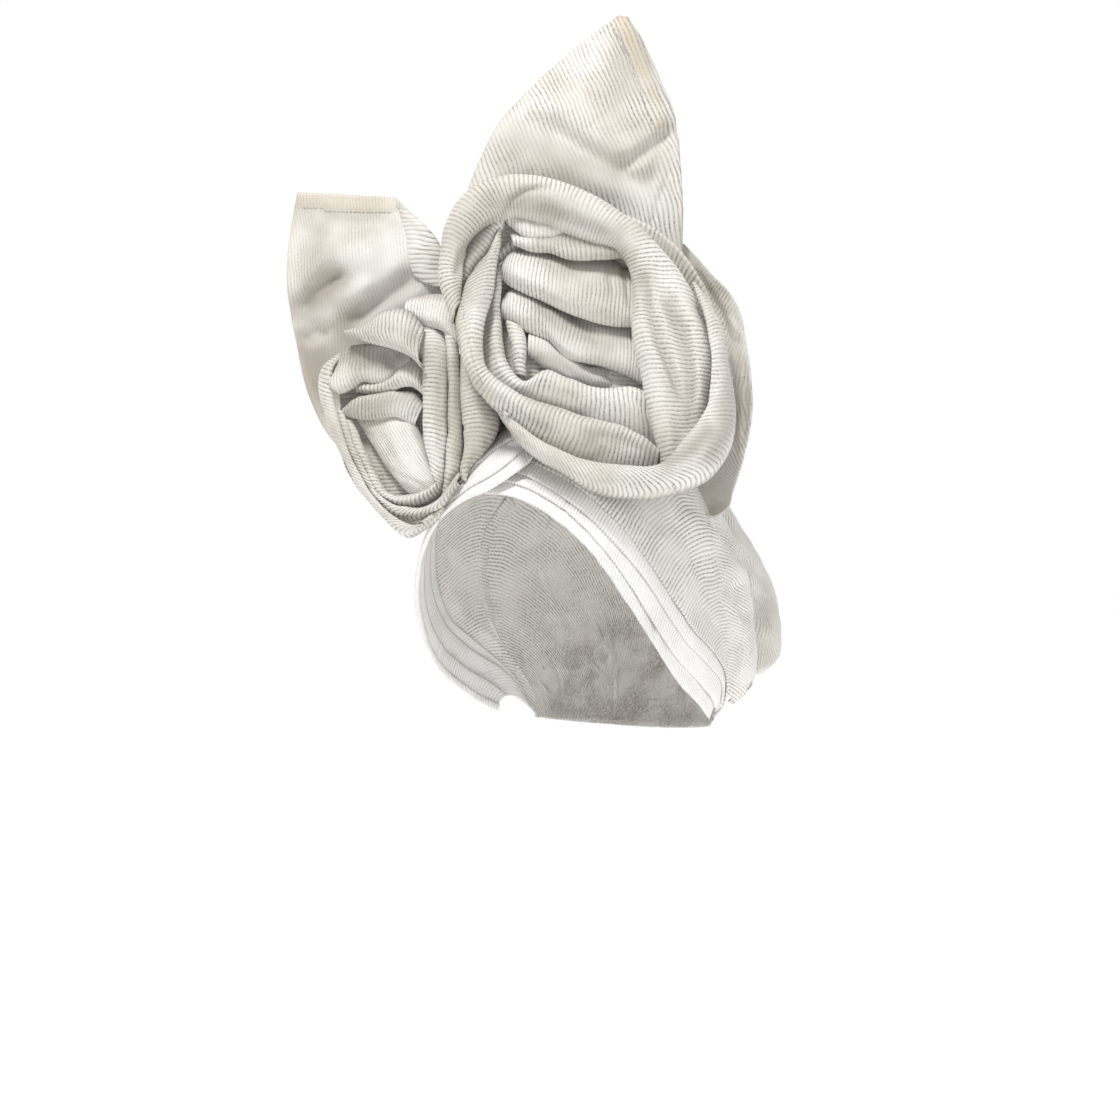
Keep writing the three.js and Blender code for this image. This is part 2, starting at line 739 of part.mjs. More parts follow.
function sideFold(side) {
  const column = (name) => valueThrough(sideFoldRows.map((row) => row[name]));
  const [startAcross, startOver] = [column('startAcross'), column('startOver')];
  const [lipAcross, lipOver, lipHeight] = [column('lipAcross'), column('lipOver'), column('lipHeight')];
  const stations = [];
  for (let i = 0; i <= sideFoldSteps; i += 1) {
    const t = i / sideFoldSteps;
    const top = lipHeight(t);
    const rise = (share) => seatHeight + (top - seatHeight) * smooth(share);
    const line = [0, 0.3, 0.6, 0.85].map((share) => [share, rise(share), [0, wall]]);
    line.push([1, top - 0.6, [0.08, wall * 0.8]]);
    line.push([1.02, top - 2.4, [0.1, 0.2]]);
    line.push([0.94, Math.max(top - lipCurl, seatHeight - 0.5), [0.05, -wall * 0.7]]);
    stations.push({
      start: { across: side * startAcross(t), over: startOver(t) },
      end: { across: side * lipAcross(t), over: lipOver(t) },
      line,
    });
  }
  return headSheet(stations);
}

function backPuff() {
  const column = (name) => valueThrough(backPuffRows.map((row) => row[name]));
  const [across, top, bottom, height] = ['across', 'top', 'bottom', 'height'].map(column);
  const stations = [];
  for (let i = 0; i <= puffSteps; i += 1) {
    const t = i / puffSteps;
    const peak = height(t);
    const shares = [0, 0.14, 0.3, 0.48, 0.66, 0.82, 0.94];
    const line = shares.map((share) => {
      const swell = Math.sin((Math.PI / 2) * Math.min(share / puffCrest, 1)) ** 1.15;
      const fall = share > puffCrest ? smooth((share - puffCrest) / 0.36) * 0.45 : 0;
      return [share, seatHeight + (peak - seatHeight) * (swell - fall), [0, wall]];
    });
    const lip = seatHeight + (peak - seatHeight) * puffLip;
    line.push([1, lip, [0.05, wall * 0.5]]);
    line.push([0.97, Math.max(lip - lipCurl, seatHeight - 0.5), [0.05, -wall * 0.5]]);
    stations.push({
      start: { across: across(t), over: top(t) },
      end: { across: across(t) * 0.97, over: bottom(t) },
      line,
    });
  }
  return headSheet(stations);
}

// Solids for cutting: the same mesh, and one grown by the clearance.
const bare = (geometry) => {
  const copy = geometry.clone();
  copy.deleteAttribute('normal');
  return mergeVertices(copy, 1e-3);
};

function solid(geometry, grow = 0) {
  const mesh = bare(geometry);
  mesh.computeVertexNormals();
  const position = mesh.getAttribute('position');
  const normal = mesh.getAttribute('normal');
  const vertices = new Float32Array(position.count * 3);
  for (let i = 0; i < vertices.length; i += 1) {
    vertices[i] = position.array[i] + normal.array[i] * grow;
  }
  const triangles = new Uint32Array(mesh.index.array);
  return new wasm.Manifold(new wasm.Mesh({ numProp: 3, vertProperties: vertices, triVerts: triangles }));
}

function fromSolid(body) {
  const mesh = body.getMesh();
  const geometry = new THREE.BufferGeometry();
  geometry.setAttribute('position', new THREE.Float32BufferAttribute(mesh.vertProperties, 3));
  geometry.setIndex(Array.from(mesh.triVerts));
  return geometry;
}

const largest = (body) => body.decompose().sort((a, b) => b.volume() - a.volume())[0];

// Clear a piece of the pieces already placed, and keep its largest part.
const placed = [];

function clearOf(geometry, toHead) {
  const inHead = geometry.clone().applyMatrix4(toHead);
  let body = solid(inHead);
  inHead.computeBoundingBox();
  const reach = inHead.boundingBox.clone().expandByScalar(1);
  const near = placed.filter((other) => reach.intersectsBox(other.box));
  const crossing = near.filter((other) => body.intersect(other.grown).volume() > sliver);
  let result = inHead;
  if (crossing.length) {
    for (const other of crossing) body = body.subtract(other.grown);
    body = largest(body);
    const plain = largest(body.simplify(simplifyWithin));
    const clean = near.every((other) => plain.intersect(other.bare).volume() < sliver);
    result = fromSolid(clean ? plain : body);
  }
  result.computeBoundingBox();
  const own = solid(result);
  placed.push({ box: result.boundingBox.clone(), bare: own, grown: solid(result, clearance).add(own) });
  return result.clone().applyMatrix4(toHead.clone().invert());
}

const part = new THREE.Group();
const flowers = new THREE.Group();
flowers.rotation.z = THREE.MathUtils.degToRad(flowerTurn);
flowers.updateMatrix();
part.add(flowers);

function add(group, name, geometry, colour = clothColour) {
  const toHead = group === flowers ? flowers.matrix : new THREE.Matrix4();
  const cleared = clearOf(geometry, toHead);
  cleared.computeVertexNormals();
  const material = new THREE.MeshStandardMaterial({ color: colour, roughness: 0.62, metalness: 0 });
  const mesh = new THREE.Mesh(cleared, material);
  mesh.name = name;
  group.add(mesh);
}

// Head wrap
add(part, 'crown_wrap', crownSheet());
for (const number of [3, 2, 1]) {
  add(part, `brow_pleat_left_${number}`, pleat(leftLines, number, leftPleatSteps));
}
for (const number of [3, 2, 1]) {
  add(part, `brow_pleat_right_${number}`, pleat(rightLines, number, rightPleatSteps));
}
add(part, 'crown_fold_left', sideFold(1), shadeColour);
add(part, 'crown_fold_right', sideFold(-1), shadeColour);
add(part, 'back_puff', backPuff());

// Large rose, from the front to the back
for (const [name, { shape, rows }] of Object.entries(largeRoseFolds)) {
  const steps = rows.length > longFold ? longFoldSteps : rows.length + 1;
  const colour = shape === 'roll' ? clothColour : shadeColour;
  add(flowers, `large_rose_${name}`, foldSheet(largeRose, rows, shape, steps), colour);
}

// Small rose
for (const [name, { shape, rows }] of Object.entries(smallRoseFolds)) {
  const label = name === 'bridge_fold' ? name : `small_rose_${name}`;
  const colour = shape === 'roll' ? clothColour : shadeColour;
  add(flowers, label, foldSheet(smallRose, rows, shape, rows.length), colour);
}

// Cups and leaves, behind the roses
for (const [name, cup] of Object.entries(cups)) add(flowers, name, cupSheet(cup));
for (const [name, rows] of Object.entries(leaves)) {
  add(flowers, name, foldSheet(leafFrame, rows, 'leaf', rows.length));
}

export default part;
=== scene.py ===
import math
import bpy
import numpy as np
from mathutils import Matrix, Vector


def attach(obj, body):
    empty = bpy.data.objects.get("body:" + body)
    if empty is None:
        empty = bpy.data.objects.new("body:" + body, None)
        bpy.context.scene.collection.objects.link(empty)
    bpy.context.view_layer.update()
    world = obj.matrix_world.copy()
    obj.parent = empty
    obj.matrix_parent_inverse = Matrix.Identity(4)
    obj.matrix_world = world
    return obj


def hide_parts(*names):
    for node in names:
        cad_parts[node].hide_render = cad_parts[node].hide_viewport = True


# A tied gele head tie: ribbed cloth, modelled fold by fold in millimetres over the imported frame.
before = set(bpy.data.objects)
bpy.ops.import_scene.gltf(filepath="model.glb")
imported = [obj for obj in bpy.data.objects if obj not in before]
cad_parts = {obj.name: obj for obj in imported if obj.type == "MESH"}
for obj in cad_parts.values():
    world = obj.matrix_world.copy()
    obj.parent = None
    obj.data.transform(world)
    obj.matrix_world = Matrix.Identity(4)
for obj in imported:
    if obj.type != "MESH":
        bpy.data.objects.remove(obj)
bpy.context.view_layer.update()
bpy.ops.object.select_all(action="DESELECT")
print("frame loaded:", len(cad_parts), "nodes")

mm = 0.001
tiny = 1e-9
# millimetres, counts and shares; plainStep is the grid's where the ribs don't run across a piece
cloth = {
    "ribPitch": 2.35,
    "ribDepth": 0.2,
    "ribWander": 0.8,
    "stepsPerRib": 3,
    "stepAcross": 2.1,
    "plainStep": 1.6,
    "fewest": (6, 8),
    "samples": 90,
    "lengthAt": 35,
    "thickness": 1.2,
    "rimCurl": 1.15,
    "hemRise": 0.7,
    "hemEdge": 1.2,
    "rootShare": 0.72,
    "joinWithin": 0.02,
}
head = {"halfWidth": 76, "halfDepth": 96, "halfHeight": 105, "earY": 30, "earZ": -162,
        "middle": (0, 10, -90)}
wrap = {"out": 1.6, "step": 1.6, "seat": 3.65, "nape": 188, "reach": 79, "crownEase": 1.25}
# where the picture's pixels lie across the view, in millimetres
picture = {"turn": 34, "scale": 0.53, "middle": 560, "side": -10.6, "up": -76.9, "distance": 1500}
# scales in millimetres: the unevenness, the places with plainer cloth and the ribs' wander
relief = {"rough": 38, "plain": 46, "wander": 30, "plainSpread": 0.35, "plainRibs": 0.8}
wrinkle = {
    "along": (0.05, 0.95),
    "across": (0.15, 0.85),
    "turn": 0.55,
    "reach": (0.12, 0.3),
    "longest": 110,
    "depth": (0.35, 0.9),
    "spread": (1.6, 3.4),
}


# Numbers and curves

def turned(x, y, z):
    # from the picture's right, away and up to the frame
    a = math.radians(picture["turn"])
    return np.stack([x * math.cos(a) - y * math.sin(a), x * math.sin(a) + y * math.cos(a), z], -1)


rightWay = turned(1.0, 0.0, 0.0)
nearWay = turned(0.0, -1.0, 0.0)


def smooth(t):
    t = np.clip(t, 0, 1)
    return t * t * (3 - 2 * t)


def along(values, t):
    # a smooth curve through the values, at the shares t of the way
    values = np.asarray(values, float)
    place = np.clip(np.asarray(t, float), 0, 1) * (len(values) - 1)
    i = np.minimum(place.astype(int), len(values) - 2)
    w = (place - i).reshape(place.shape + (1,) * (values.ndim - 1))
    padded = np.concatenate([[2 * values[0] - values[1]], values, [2 * values[-1] - values[-2]]])
    a, b, c, d = (padded[i + k] for k in range(4))
    slopeB, slopeC = (c - a) / 2, (d - b) / 2
    return ((2 * b - 2 * c + slopeB + slopeC) * w ** 3
            + (3 * c - 3 * b - 2 * slopeB - slopeC) * w ** 2 + slopeB * w + b)


def lengthsAlong(points):
    steps = np.linalg.norm(np.diff(points, axis=0), axis=-1)
    return np.concatenate([[0], np.cumsum(steps)])


def unit(vectors):
    return vectors / np.linalg.norm(vectors, axis=-1, keepdims=True)


def softNoise(points, scale, seed):
    # waves in random directions, in three octaves
    finer, fainter, whole = 1.8, 1.7, 3.5
    random = np.random.default_rng(seed)
    total = np.zeros(points.shape[:-1])
    for octave in range(3):
        for _ in range(4):
            direction = random.normal(size=3)
            direction *= 2 * math.pi / (scale / finer ** octave * np.linalg.norm(direction))
            total += np.sin(points @ direction + random.uniform(0, 2 * math.pi)) / fainter ** octave
    return total / whole


def nearPath(x, y, path):
    # how far each point lies from a path, and the share of the path passed there
    path = np.array(path, float)
    legs = np.linalg.norm(np.diff(path, axis=0), axis=1)
    nearest = np.full(x.shape, np.inf)
    passed = np.zeros(x.shape)
    done = 0
    for start, end, leg in zip(path[:-1], path[1:], legs):
        way = (end - start) / leg
        right, down = x - start[0], y - start[1]
        forward = np.clip(right * way[0] + down * way[1], 0, leg)
        gap = np.hypot(right - forward * way[0], down - forward * way[1])
        closer = gap < nearest
        nearest = np.where(closer, gap, nearest)
        passed = np.where(closer, done + forward, passed)
        done += leg
    return nearest, passed / done


def furrow(x, y, path, depth, width):
    # a soft furrow along a path, with a low ridge on each side; a negative depth raises it
    ends, ridge, ridgeSpread = 0.25, 0.4, 5
    gap, share = nearPath(x, y, path)
    fade = smooth(share / ends) * smooth((1 - share) / ends)
    bend = (gap / width) ** 2
    return -depth * fade * (np.exp(-bend) - ridge * np.exp(-bend / ridgeSpread))


def marked(values, marks, column, row):
    # raised to each mark's strength along its path over the picture
    for path, strength, spread in marks:
        near = np.exp(-(nearPath(column, row, path)[0] / spread) ** 2)
        values = np.maximum(values, strength * near)
    return values


def inPicture(points):
    # the picture's column and row at which each point is seen
    scale = picture["scale"] * (1 - points @ nearWay / picture["distance"])
    return ((points @ rightWay - picture["side"]) / scale + picture["middle"],
            picture["middle"] - (points[..., 2] - picture["up"]) / scale)


def normalsOf(points, facing):
    # unit normals on the facing side, and the sign that turned them there
    normals = np.cross(np.gradient(points, axis=0), np.gradient(points, axis=1))
    normals /= np.linalg.norm(normals, axis=-1, keepdims=True) + tiny
    sign = np.sign((normals * facing).sum(-1).mean()) or 1
    return normals * sign, sign


# Materials

def mathsNode(operation, swap=False):
    return lambda self, other: self.maths(operation, other, swap)


class Socket:
    # a value in a shader: each operator adds its Math node

    def __init__(self, graph, output):
        self.graph = graph
        self.output = output

    def maths(self, operation, other=None, swap=False):
        values = [other, self] if swap else [self, other]
        inputs = {i: value for i, value in enumerate(values) if value is not None}
        return self.graph.node("Math", {"operation": operation}, inputs)

    __add__ = __radd__ = mathsNode("ADD")
    __mul__ = __rmul__ = mathsNode("MULTIPLY")
    __sub__ = mathsNode("SUBTRACT")
    __rsub__ = mathsNode("SUBTRACT", swap=True)
    __pow__ = mathsNode("POWER")


class Graph:
    # the nodes of a material or a world

    def __init__(self, owner, shader):
        self.owner = owner
        owner.use_nodes = True
        self.tree = owner.node_tree
        self.shader = self.tree.nodes[shader]

    def node(self, kind, settings=None, inputs=None, output=0):
        made = self.tree.nodes.new("ShaderNode" + kind)
        for key, value in (settings or {}).items():
            setattr(made, key, value)
        for key, value in (inputs or {}).items():
            self.feed(made.inputs[key], value)
        return Socket(self, made.outputs[output])

    def feed(self, socket, value):
        if isinstance(value, Socket):
            self.tree.links.new(value.output, socket)
        elif isinstance(value, tuple) and len(value) == 3 and socket.type == "RGBA":
            socket.default_value = (*value, 1)
        else:
            socket.default_value = value

    def mix(self, factor, first, second):
        return self.node("Mix", {"data_type": "RGBA"}, {0: factor, 6: first, 7: second}, output=2)

    def noise(self, vector, scale, detail, roughness):
        return self.node("TexNoise", {}, {
            "Vector": vector, "Scale": scale, "Detail": detail, "Roughness": roughness})

    def ramp(self, factor, low, high):
        return self.node("MapRange", {"interpolation_type": "SMOOTHSTEP"}, {
            "Value": factor, "From Min": low, "From Max": high})

    def cloud(self, vector, scale, detail, roughness, low, high):
        return self.ramp(self.noise(vector, scale, detail, roughness), low, high)

    def attribute(self, name):
        return self.node("Attribute", {"attribute_name": name}, output=2)

    def flat(self, x, y):
        return self.node("CombineXYZ", {}, {0: x, 1: y})

    def set(self, name, value):
        self.feed(self.shader.inputs[name], value)


def ribbedCloth(name, look):
    graph = Graph(bpy.data.materials.new(name), "Principled BSDF")
    place = graph.node("UVMap", {"uv_map": "cloth"})
    acrossRibs, alongRibs = (graph.node("SeparateXYZ", {}, {0: place}, output=i) for i in (0, 1))
    objectPlace = graph.node("TexCoord", output=3)
    hem, plain, paintedShade, paintedLight = (graph.attribute(label) for label in ("hem", "plain", "paintedShade", "paintedLight"))

    # ribs: a furrow at each whole number of pitches, broken up along its length
    ribPitch, threadPitch = cloth["ribPitch"] * mm, look["threadPitch"]
    crest = 0.5 - (acrossRibs * (2 * math.pi / ribPitch)).maths("COSINE") * 0.5
    valley = (1 - crest) ** look["furrowSharpness"]
    ribSpace = graph.flat(acrossRibs * (1 / ribPitch), alongRibs * (1 / look["speckLength"]))
    speckle = graph.cloud(ribSpace, *look["speckle"])
    weaveSpace = graph.flat(acrossRibs * (1 / threadPitch), alongRibs * (1 / threadPitch))
    weave = graph.noise(weaveSpace, *look["weave"])
    weft = (alongRibs * (2 * math.pi / look["weftPitch"])).maths("SINE")
    grain = graph.cloud(weaveSpace, *look["grain"])
    patches, worn, stain = (graph.cloud(objectPlace, *look[label]) for label in ("patches", "worn", "stain"))
    ribbed = 1 - plain * look["plainFade"]

    line = valley * (0.32 + 0.68 * speckle) * (0.42 + 0.58 * worn) * ribbed
    base = graph.mix(patches, look["dull"], look["bright"])
    # painted light: a paler copy of the cloth on the crown, its side folds and the puff
    base = graph.mix(paintedLight, base, look["paintedLightColour"])
    base = graph.mix(line * look["lineStrength"], base, look["lineColour"])
    base = graph.mix(weave * 0.12 + grain * look["grainStrength"], base, look["lineColour"])
    base = graph.mix(hem * (0.35 + 0.65 * stain) * look["hemStrength"], base, look["hemColour"])
    # painted shade: darker towards the folds' roots and along the painted shade paths
    base = graph.mix(paintedShade * look["paintedShadeStrength"], base, look["paintedShadeColour"])
    graph.set("Base Color", base)
    graph.set("Roughness", look["roughness"] + 0.2 * valley + 0.12 * weave)

    height = crest ** 0.6 * ribbed * look["ribBump"] + weave * 0.12 + weft * 0.05 - grain * 0.1
    graph.set("Normal", graph.node("Bump", {}, {
        "Height": height, "Strength": look["bumpStrength"], "Distance": look["bumpDistance"]}))
    graph.set("Sheen Weight", look["sheen"])
    graph.set("Sheen Roughness", look["sheenRoughness"])
    graph.set("Specular IOR Level", look["specular"])
    return graph.owner


# noises: scale, detail and roughness, then the two values that become 0 and 1
clothLook = {
    "dull": (0.545, 0.512, 0.45),
    "bright": (0.76, 0.74, 0.695),
    # the colour of the painted light
    "paintedLightColour": (0.93, 0.915, 0.89),
    "lineColour": (0.17, 0.145, 0.11),
    "lineStrength": 0.95,
    "furrowSharpness": 2.4,
    "speckLength": 0.0021,
    "speckle": (1.6, 2.5, 0.65, 0.36, 0.62),
    "patches": (24.0, 3.0, 0.5, 0.3, 0.62),
    "worn": (52.0, 2.0, 0.5, 0.32, 0.62),
    "stain": (60.0, 3.0, 0.5, 0.5, 0.72),
    "weave": (0.9, 1.0, 0.5),
    "grain": (1.9, 2.0, 0.7, 0.5, 0.8),
    "grainStrength": 0.22,
    "plainFade": 0.85,
    "threadPitch": 0.0006,
    "weftPitch": 0.0011,
    "hemColour": (0.57, 0.47, 0.31),
    "hemStrength": 0.55,
    # colour and strength of the painted shade
    "paintedShadeColour": (0.205, 0.172, 0.135),
    "paintedShadeStrength": 0.62,
    "roughness": 0.5,
    "ribBump": 0.5,
    "bumpStrength": 0.75,
    "bumpDistance": 0.0004,
    "sheen": 0.25,
    "sheenRoughness": 0.45,
    "specular": 0.42,
}
# painted light: the brow pleats take a brighter copy of the same cloth, with fainter lines
browLitLook = dict(clothLook, dull=(0.84, 0.83, 0.81), bright=(0.93, 0.92, 0.905), lineStrength=0.45)
materials = {
    "cloth": ribbedCloth("ribbed_cloth", clothLook),
    "brow_cloth": ribbedCloth("brow_cloth", browLitLook),
}
print("materials ready")


# Cloth pieces

# what a sheet has where its own dictionary says nothing else
usualSheet = {
    "slot": "cloth",
    "held": "folded",
    "ribs": "across",
    "pitch": cloth["ribPitch"],
    "stepAcross": cloth["stepAcross"],
    "thickness": cloth["thickness"],
    "seed": 0,
    "roughen": 0.5,
    "wrinkles": 0,
    "creases": (),
    "details": (),
    "hems": (),
    "hemWidth": 2.5,
    "hemRim": 0.5,
    "plain": 0.0,
    "plains": (),
    # painted shade at the root and along paths, and a share of painted light
    "rootShade": 0.0,
    "paintedShades": (),
    "paintedLight": 0.0,
    "closed": False,
}
surfaces = {}


def sheetGrid(sheet, surface):
    # columns and rows evenly spaced over the cloth: their shares, and the columns' lengths
    coarse = np.linspace(0, 1, cloth["samples"])
    first = surface(coarse, coarse)
    lengths = lengthsAlong(first[:, cloth["lengthAt"]])
    widths = np.concatenate([[0], np.cumsum(np.linalg.norm(np.diff(first, axis=1), axis=-1).max(0))])
    length, width = lengths[-1], widths[-1]
    stepAlong, stepAcross = sheet["pitch"] / cloth["stepsPerRib"], sheet["stepAcross"]
    if sheet["ribs"] != "across":
        stepAlong = stepAcross = cloth["plainStep"]
    fewestColumns, fewestRows = cloth["fewest"]
    columns = max(int(length / stepAlong), fewestColumns) + 1
    rows = max(int(math.ceil(width / stepAcross)), fewestRows) + 1
    places = np.arange(columns) * stepAlong
    places[-1] = length
    t = np.interp(places, lengths, coarse)
    s = np.interp(np.linspace(0, width, rows), widths, coarse)
    return t, s, places, width


def addWrinkles(lift, sheet, u, v, width):
    # small wrinkles at random places over the cloth
    length = u[-1, 0]
    random = np.random.default_rng(sheet["seed"] + 100)
    for _ in range(sheet["wrinkles"]):
        shareAlong, shareAcross = random.uniform(*wrinkle["along"]), random.uniform(*wrinkle["across"])
        at = np.array([shareAlong * length, shareAcross * width])
        turn = random.normal(0, wrinkle["turn"])
        reach = random.uniform(*wrinkle["reach"]) * min(length, wrinkle["longest"]) / 2
        arm = reach * np.array([math.cos(turn), math.sin(turn)])
        depth, spread = random.uniform(*wrinkle["depth"]), random.uniform(*wrinkle["spread"])
        lift += furrow(u, v, [at - arm, at + arm], depth, spread)


def sheetRelief(sheet, points, u, v, width):
    # how far the cloth rises, where its ribs run, and what the material reads at each point
    seed, ribs, pitch = sheet["seed"], sheet["ribs"], sheet["pitch"]
    column, row = inPicture(points)
    share = v / v[:, -1:]
    lift = sheet["roughen"] * softNoise(points, relief["rough"], seed)
    addWrinkles(lift, sheet, u, v, width)
    for path, depth, spread in sheet["creases"]:
        lift += furrow(column, row, path, depth, spread)
    hem = np.exp(-((v / sheet["hemWidth"]) ** 2)) * sheet["hemRim"]
    for path, spread in sheet["hems"]:
        band = smooth((spread - nearPath(column, row, path)[0]) / cloth["hemEdge"])
        hem = np.maximum(hem, band)
        lift += cloth["hemRise"] * band
    uneven = relief["plainSpread"] * softNoise(points, relief["plain"], seed + 50)
    plain = marked(np.clip(sheet["plain"] + uneven, 0, 1), sheet["plains"], column, row)
    for detail in sheet["details"]:
        lift += detail(u, share)
    if ribs == "across":
        crossing, running = u, v
    elif ribs == "along":
        crossing, running = v, u
    else:
        crossing, running = ribs(points), u
    crossing = crossing + cloth["ribWander"] * softNoise(points, relief["wander"], seed + 7)
    if ribs == "across":
        depth = cloth["ribDepth"] * (1 - relief["plainRibs"] * plain)
        lift += depth * (0.5 - 0.5 * np.cos(2 * math.pi * crossing / pitch))
    # painted shade: darker towards each fold's root and along its shade paths; painted light: its paler share
    paintedShade = smooth((share - cloth["rootShare"]) / (1 - cloth["rootShare"])) * sheet["rootShade"]
    uv = np.stack([crossing * cloth["ribPitch"] / pitch, running], -1)
    return lift, uv, {"hem": hem, "plain": plain, "paintedLight": sheet["paintedLight"] + 0 * v,
                      "paintedShade": marked(paintedShade, sheet["paintedShades"], column, row)}


def gridObject(name, points, uv, attributes):
    # a grid with its vertices moved to the points, a UV map and an attribute for each value
    columns, rows = points.shape[:2]
    bpy.ops.mesh.primitive_grid_add(x_subdivisions=columns - 1, y_subdivisions=rows - 1, size=1)
    piece = bpy.context.active_object
    mesh = piece.data
    piece.name = mesh.name = name
    places = np.empty(len(mesh.vertices) * 3)
    mesh.vertices.foreach_get("co", places)
    x, y = places.reshape(-1, 3)[:, :2].T
    i = np.rint((x + 0.5) * (columns - 1)).astype(int)
    j = np.rint((y + 0.5) * (rows - 1)).astype(int)
    mesh.vertices.foreach_set("co", (points[i, j] * mm).ravel())
    corners = np.empty(len(mesh.loops), int)
    mesh.loops.foreach_get("vertex_index", corners)
    layer = mesh.uv_layers[0]
    layer.name = "cloth"
    layer.data.foreach_set("uv", (uv[i, j][corners] * mm).ravel())
    for label, values in attributes.items():
        attribute = mesh.attributes.new(label, "FLOAT", "POINT")
        attribute.data.foreach_set("value", values[i, j].astype(np.float32))
    return piece


def clothPiece(name, surface, facing, node=None, **changes):
    # surface(t, s) gives points in millimetres: t along the piece, s from its free rim to its root
    sheet = {**usualSheet, **changes}
    slot, held = sheet["slot"], sheet["held"]
    t, s, places, width = sheetGrid(sheet, surface)
    points = surface(t, s)
    normals, sign = normalsOf(points, facing(points))
    u = np.repeat(places[:, None], len(s), 1)
    steps = np.linalg.norm(np.diff(points, axis=1), axis=-1)
    v = np.concatenate([np.zeros((len(t), 1)), np.cumsum(steps, 1)], 1)
    lift, uv, attributes = sheetRelief(sheet, points, u, v, width)
    points = points + normals * lift[..., None]
    surfaces[name] = (points, normals)

    piece = gridObject(name, points, uv, attributes)
    if sign < 0 or sheet["closed"]:
        bpy.ops.object.mode_set(mode="EDIT")
        bpy.ops.mesh.select_all(action="SELECT")
        if sign < 0:
            bpy.ops.mesh.flip_normals()
        if sheet["closed"]:
            bpy.ops.mesh.remove_doubles(threshold=cloth["joinWithin"] * mm)
        bpy.ops.object.mode_set(mode="OBJECT")
    wall = piece.modifiers.new("wall", "SOLIDIFY")
    wall.thickness = sheet["thickness"] * mm
    wall.offset = -1
    bpy.ops.object.modifier_apply(modifier="wall")
    bpy.ops.object.shade_smooth()
    piece.data.materials.clear()
    piece.data.materials.append(materials[slot])
    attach(piece, "root")
    if node:
        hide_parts(node)
    piece.select_set(False)


# Surfaces

# sections across a fold: a curled rim, then points at shares of the width or angles round a roll
sections = {
    "curl": (300, 255, 210, 165),
    "curlShare": 0.2,
    "curlDrop": 0.7,
    "petal": (0.07, 0.15, 0.25, 0.38, 0.54, 0.7, 0.86, 1),
    "petalHeight": 1.42,
    "petalRise": 0.12,
    "petalFall": 0.85,
    "belly": (0.09, 0.2, 0.33, 0.48, 0.64, 0.82, 1),
    "bellyLean": 0.75,
    "roll": (-38, -12, 12, 36, 60, 78, 90, 102, 120, 144, 168, 192, 216),
    "valleySpread": 22,
    "leaf": 9,
}


def inFlower(place, x, z, out):
    depth = place["out"] + place["slopeX"] * x + place["slopeZ"] * z + out
    return turned(place["x"] + x, -depth, place["z"] + z)


def flowerFront(place):
    return unit(turned(-place["slopeX"], -1.0, -place["slopeZ"]))


def curledRim(width):
    curl = np.minimum(cloth["rimCurl"], width * sections["curlShare"])
    angles = [math.radians(degrees) for degrees in sections["curl"]]
    return [[curl + curl * math.cos(a), curl * math.sin(a) - curl * sections["curlDrop"]] for a in angles]


def petalLine(width, bulge, valley):
    # a rounded lip, then nearly flat back to the root
    line = curledRim(width)
    for share in sections["petal"]:
        height = sections["petalHeight"] * (1 - math.exp(-share / sections["petalRise"]))
        line.append([width * share, bulge * (height * (1 - share) ** sections["petalFall"])])
    return line


def bellyLine(width, bulge, valley):
    swell = [(share, math.sin(math.pi * share ** sections["bellyLean"])) for share in sections["belly"]]
    return curledRim(width) + [[width * share, bulge * height] for share, height in swell]


def rollLine(width, bulge, valley):
    line = []
    for degrees in sections["roll"]:
        a = math.radians(degrees)
        dip = valley * math.exp(-(((degrees - 90) / sections["valleySpread"]) ** 2))
        line.append([width * (0.5 - 0.5 * math.cos(a)), bulge * math.sin(a) - dip])
    return line


def leafLine(width, bulge, valley):
    return [[width * share, bulge * 4 * share * (1 - share)] for share in np.linspace(0, 1, sections["leaf"])]


sectionLines = {"petal": petalLine, "belly": bellyLine, "roll": rollLine, "leaf": leafLine}


def foldSurface(place, section, rows):
    table = np.array([(*row, 0)[:8] for row in rows], float)
    rim = inFlower(place, *table[:, 0:3].T)
    root = inFlower(place, *table[:, 3:6].T)
    front = flowerFront(place)

    def surface(t, s):
        start = along(rim, t)
        across = along(root, t) - start
        width = np.linalg.norm(across, axis=-1)
        across /= width[:, None]
        out = unit(front - across * (across @ front)[:, None])
        bulge, valley = along(table[:, 6], t), along(table[:, 7], t)
        line = sectionLines[section](width, bulge, valley)
        line = np.array([[x + 0 * width, y + 0 * width] for x, y in line])
        flat = np.moveaxis(along(line, s), -1, 0)
        return (start[:, None] + across[:, None] * flat[:, :, 0, None]
                + out[:, None] * flat[:, :, 1, None])

    return surface


def onHead(across, over, height):
    # a point at angles across and over the head, at a height off it
    a, o = np.radians(across), np.radians(over)
    ray = np.stack([np.sin(a), -np.cos(a) * np.cos(o), np.cos(a) * np.sin(o)], -1)
    scale = 1 / np.array([head["halfWidth"], head["halfDepth"], head["halfHeight"]])
    start = np.array([0, head["earY"], head["earZ"] + head["halfHeight"]])
    scaledRay, scaledStart = ray * scale, start * scale
    b = scaledRay @ scaledStart
    square = (scaledRay ** 2).sum(-1)
    reach = (-b + np.sqrt(b * b - square * (scaledStart @ scaledStart - 1))) / square
    point = start + ray * reach[..., None]
    normal = unit(point * scale ** 2)
    point[..., 2] -= head["halfHeight"]
    return point + normal * np.asarray(height)[..., None]


def fromHead(points):
    return points - np.array(head["middle"])


# The wrap: brow pleats, crown, the folds over the ears and the puff at the back

pleats = {
    # painted light: the brighter brow cloth; painted shade towards each pleat's root
    "slot": "brow_cloth",
    "held": "stretched",
    "pitch": 1.9,
    "thickness": 0.7,
    "roughen": 0.3,
    "wrinkles": 6,
    "rootShade": 0.25,
    "hemRim": 0.0,
}
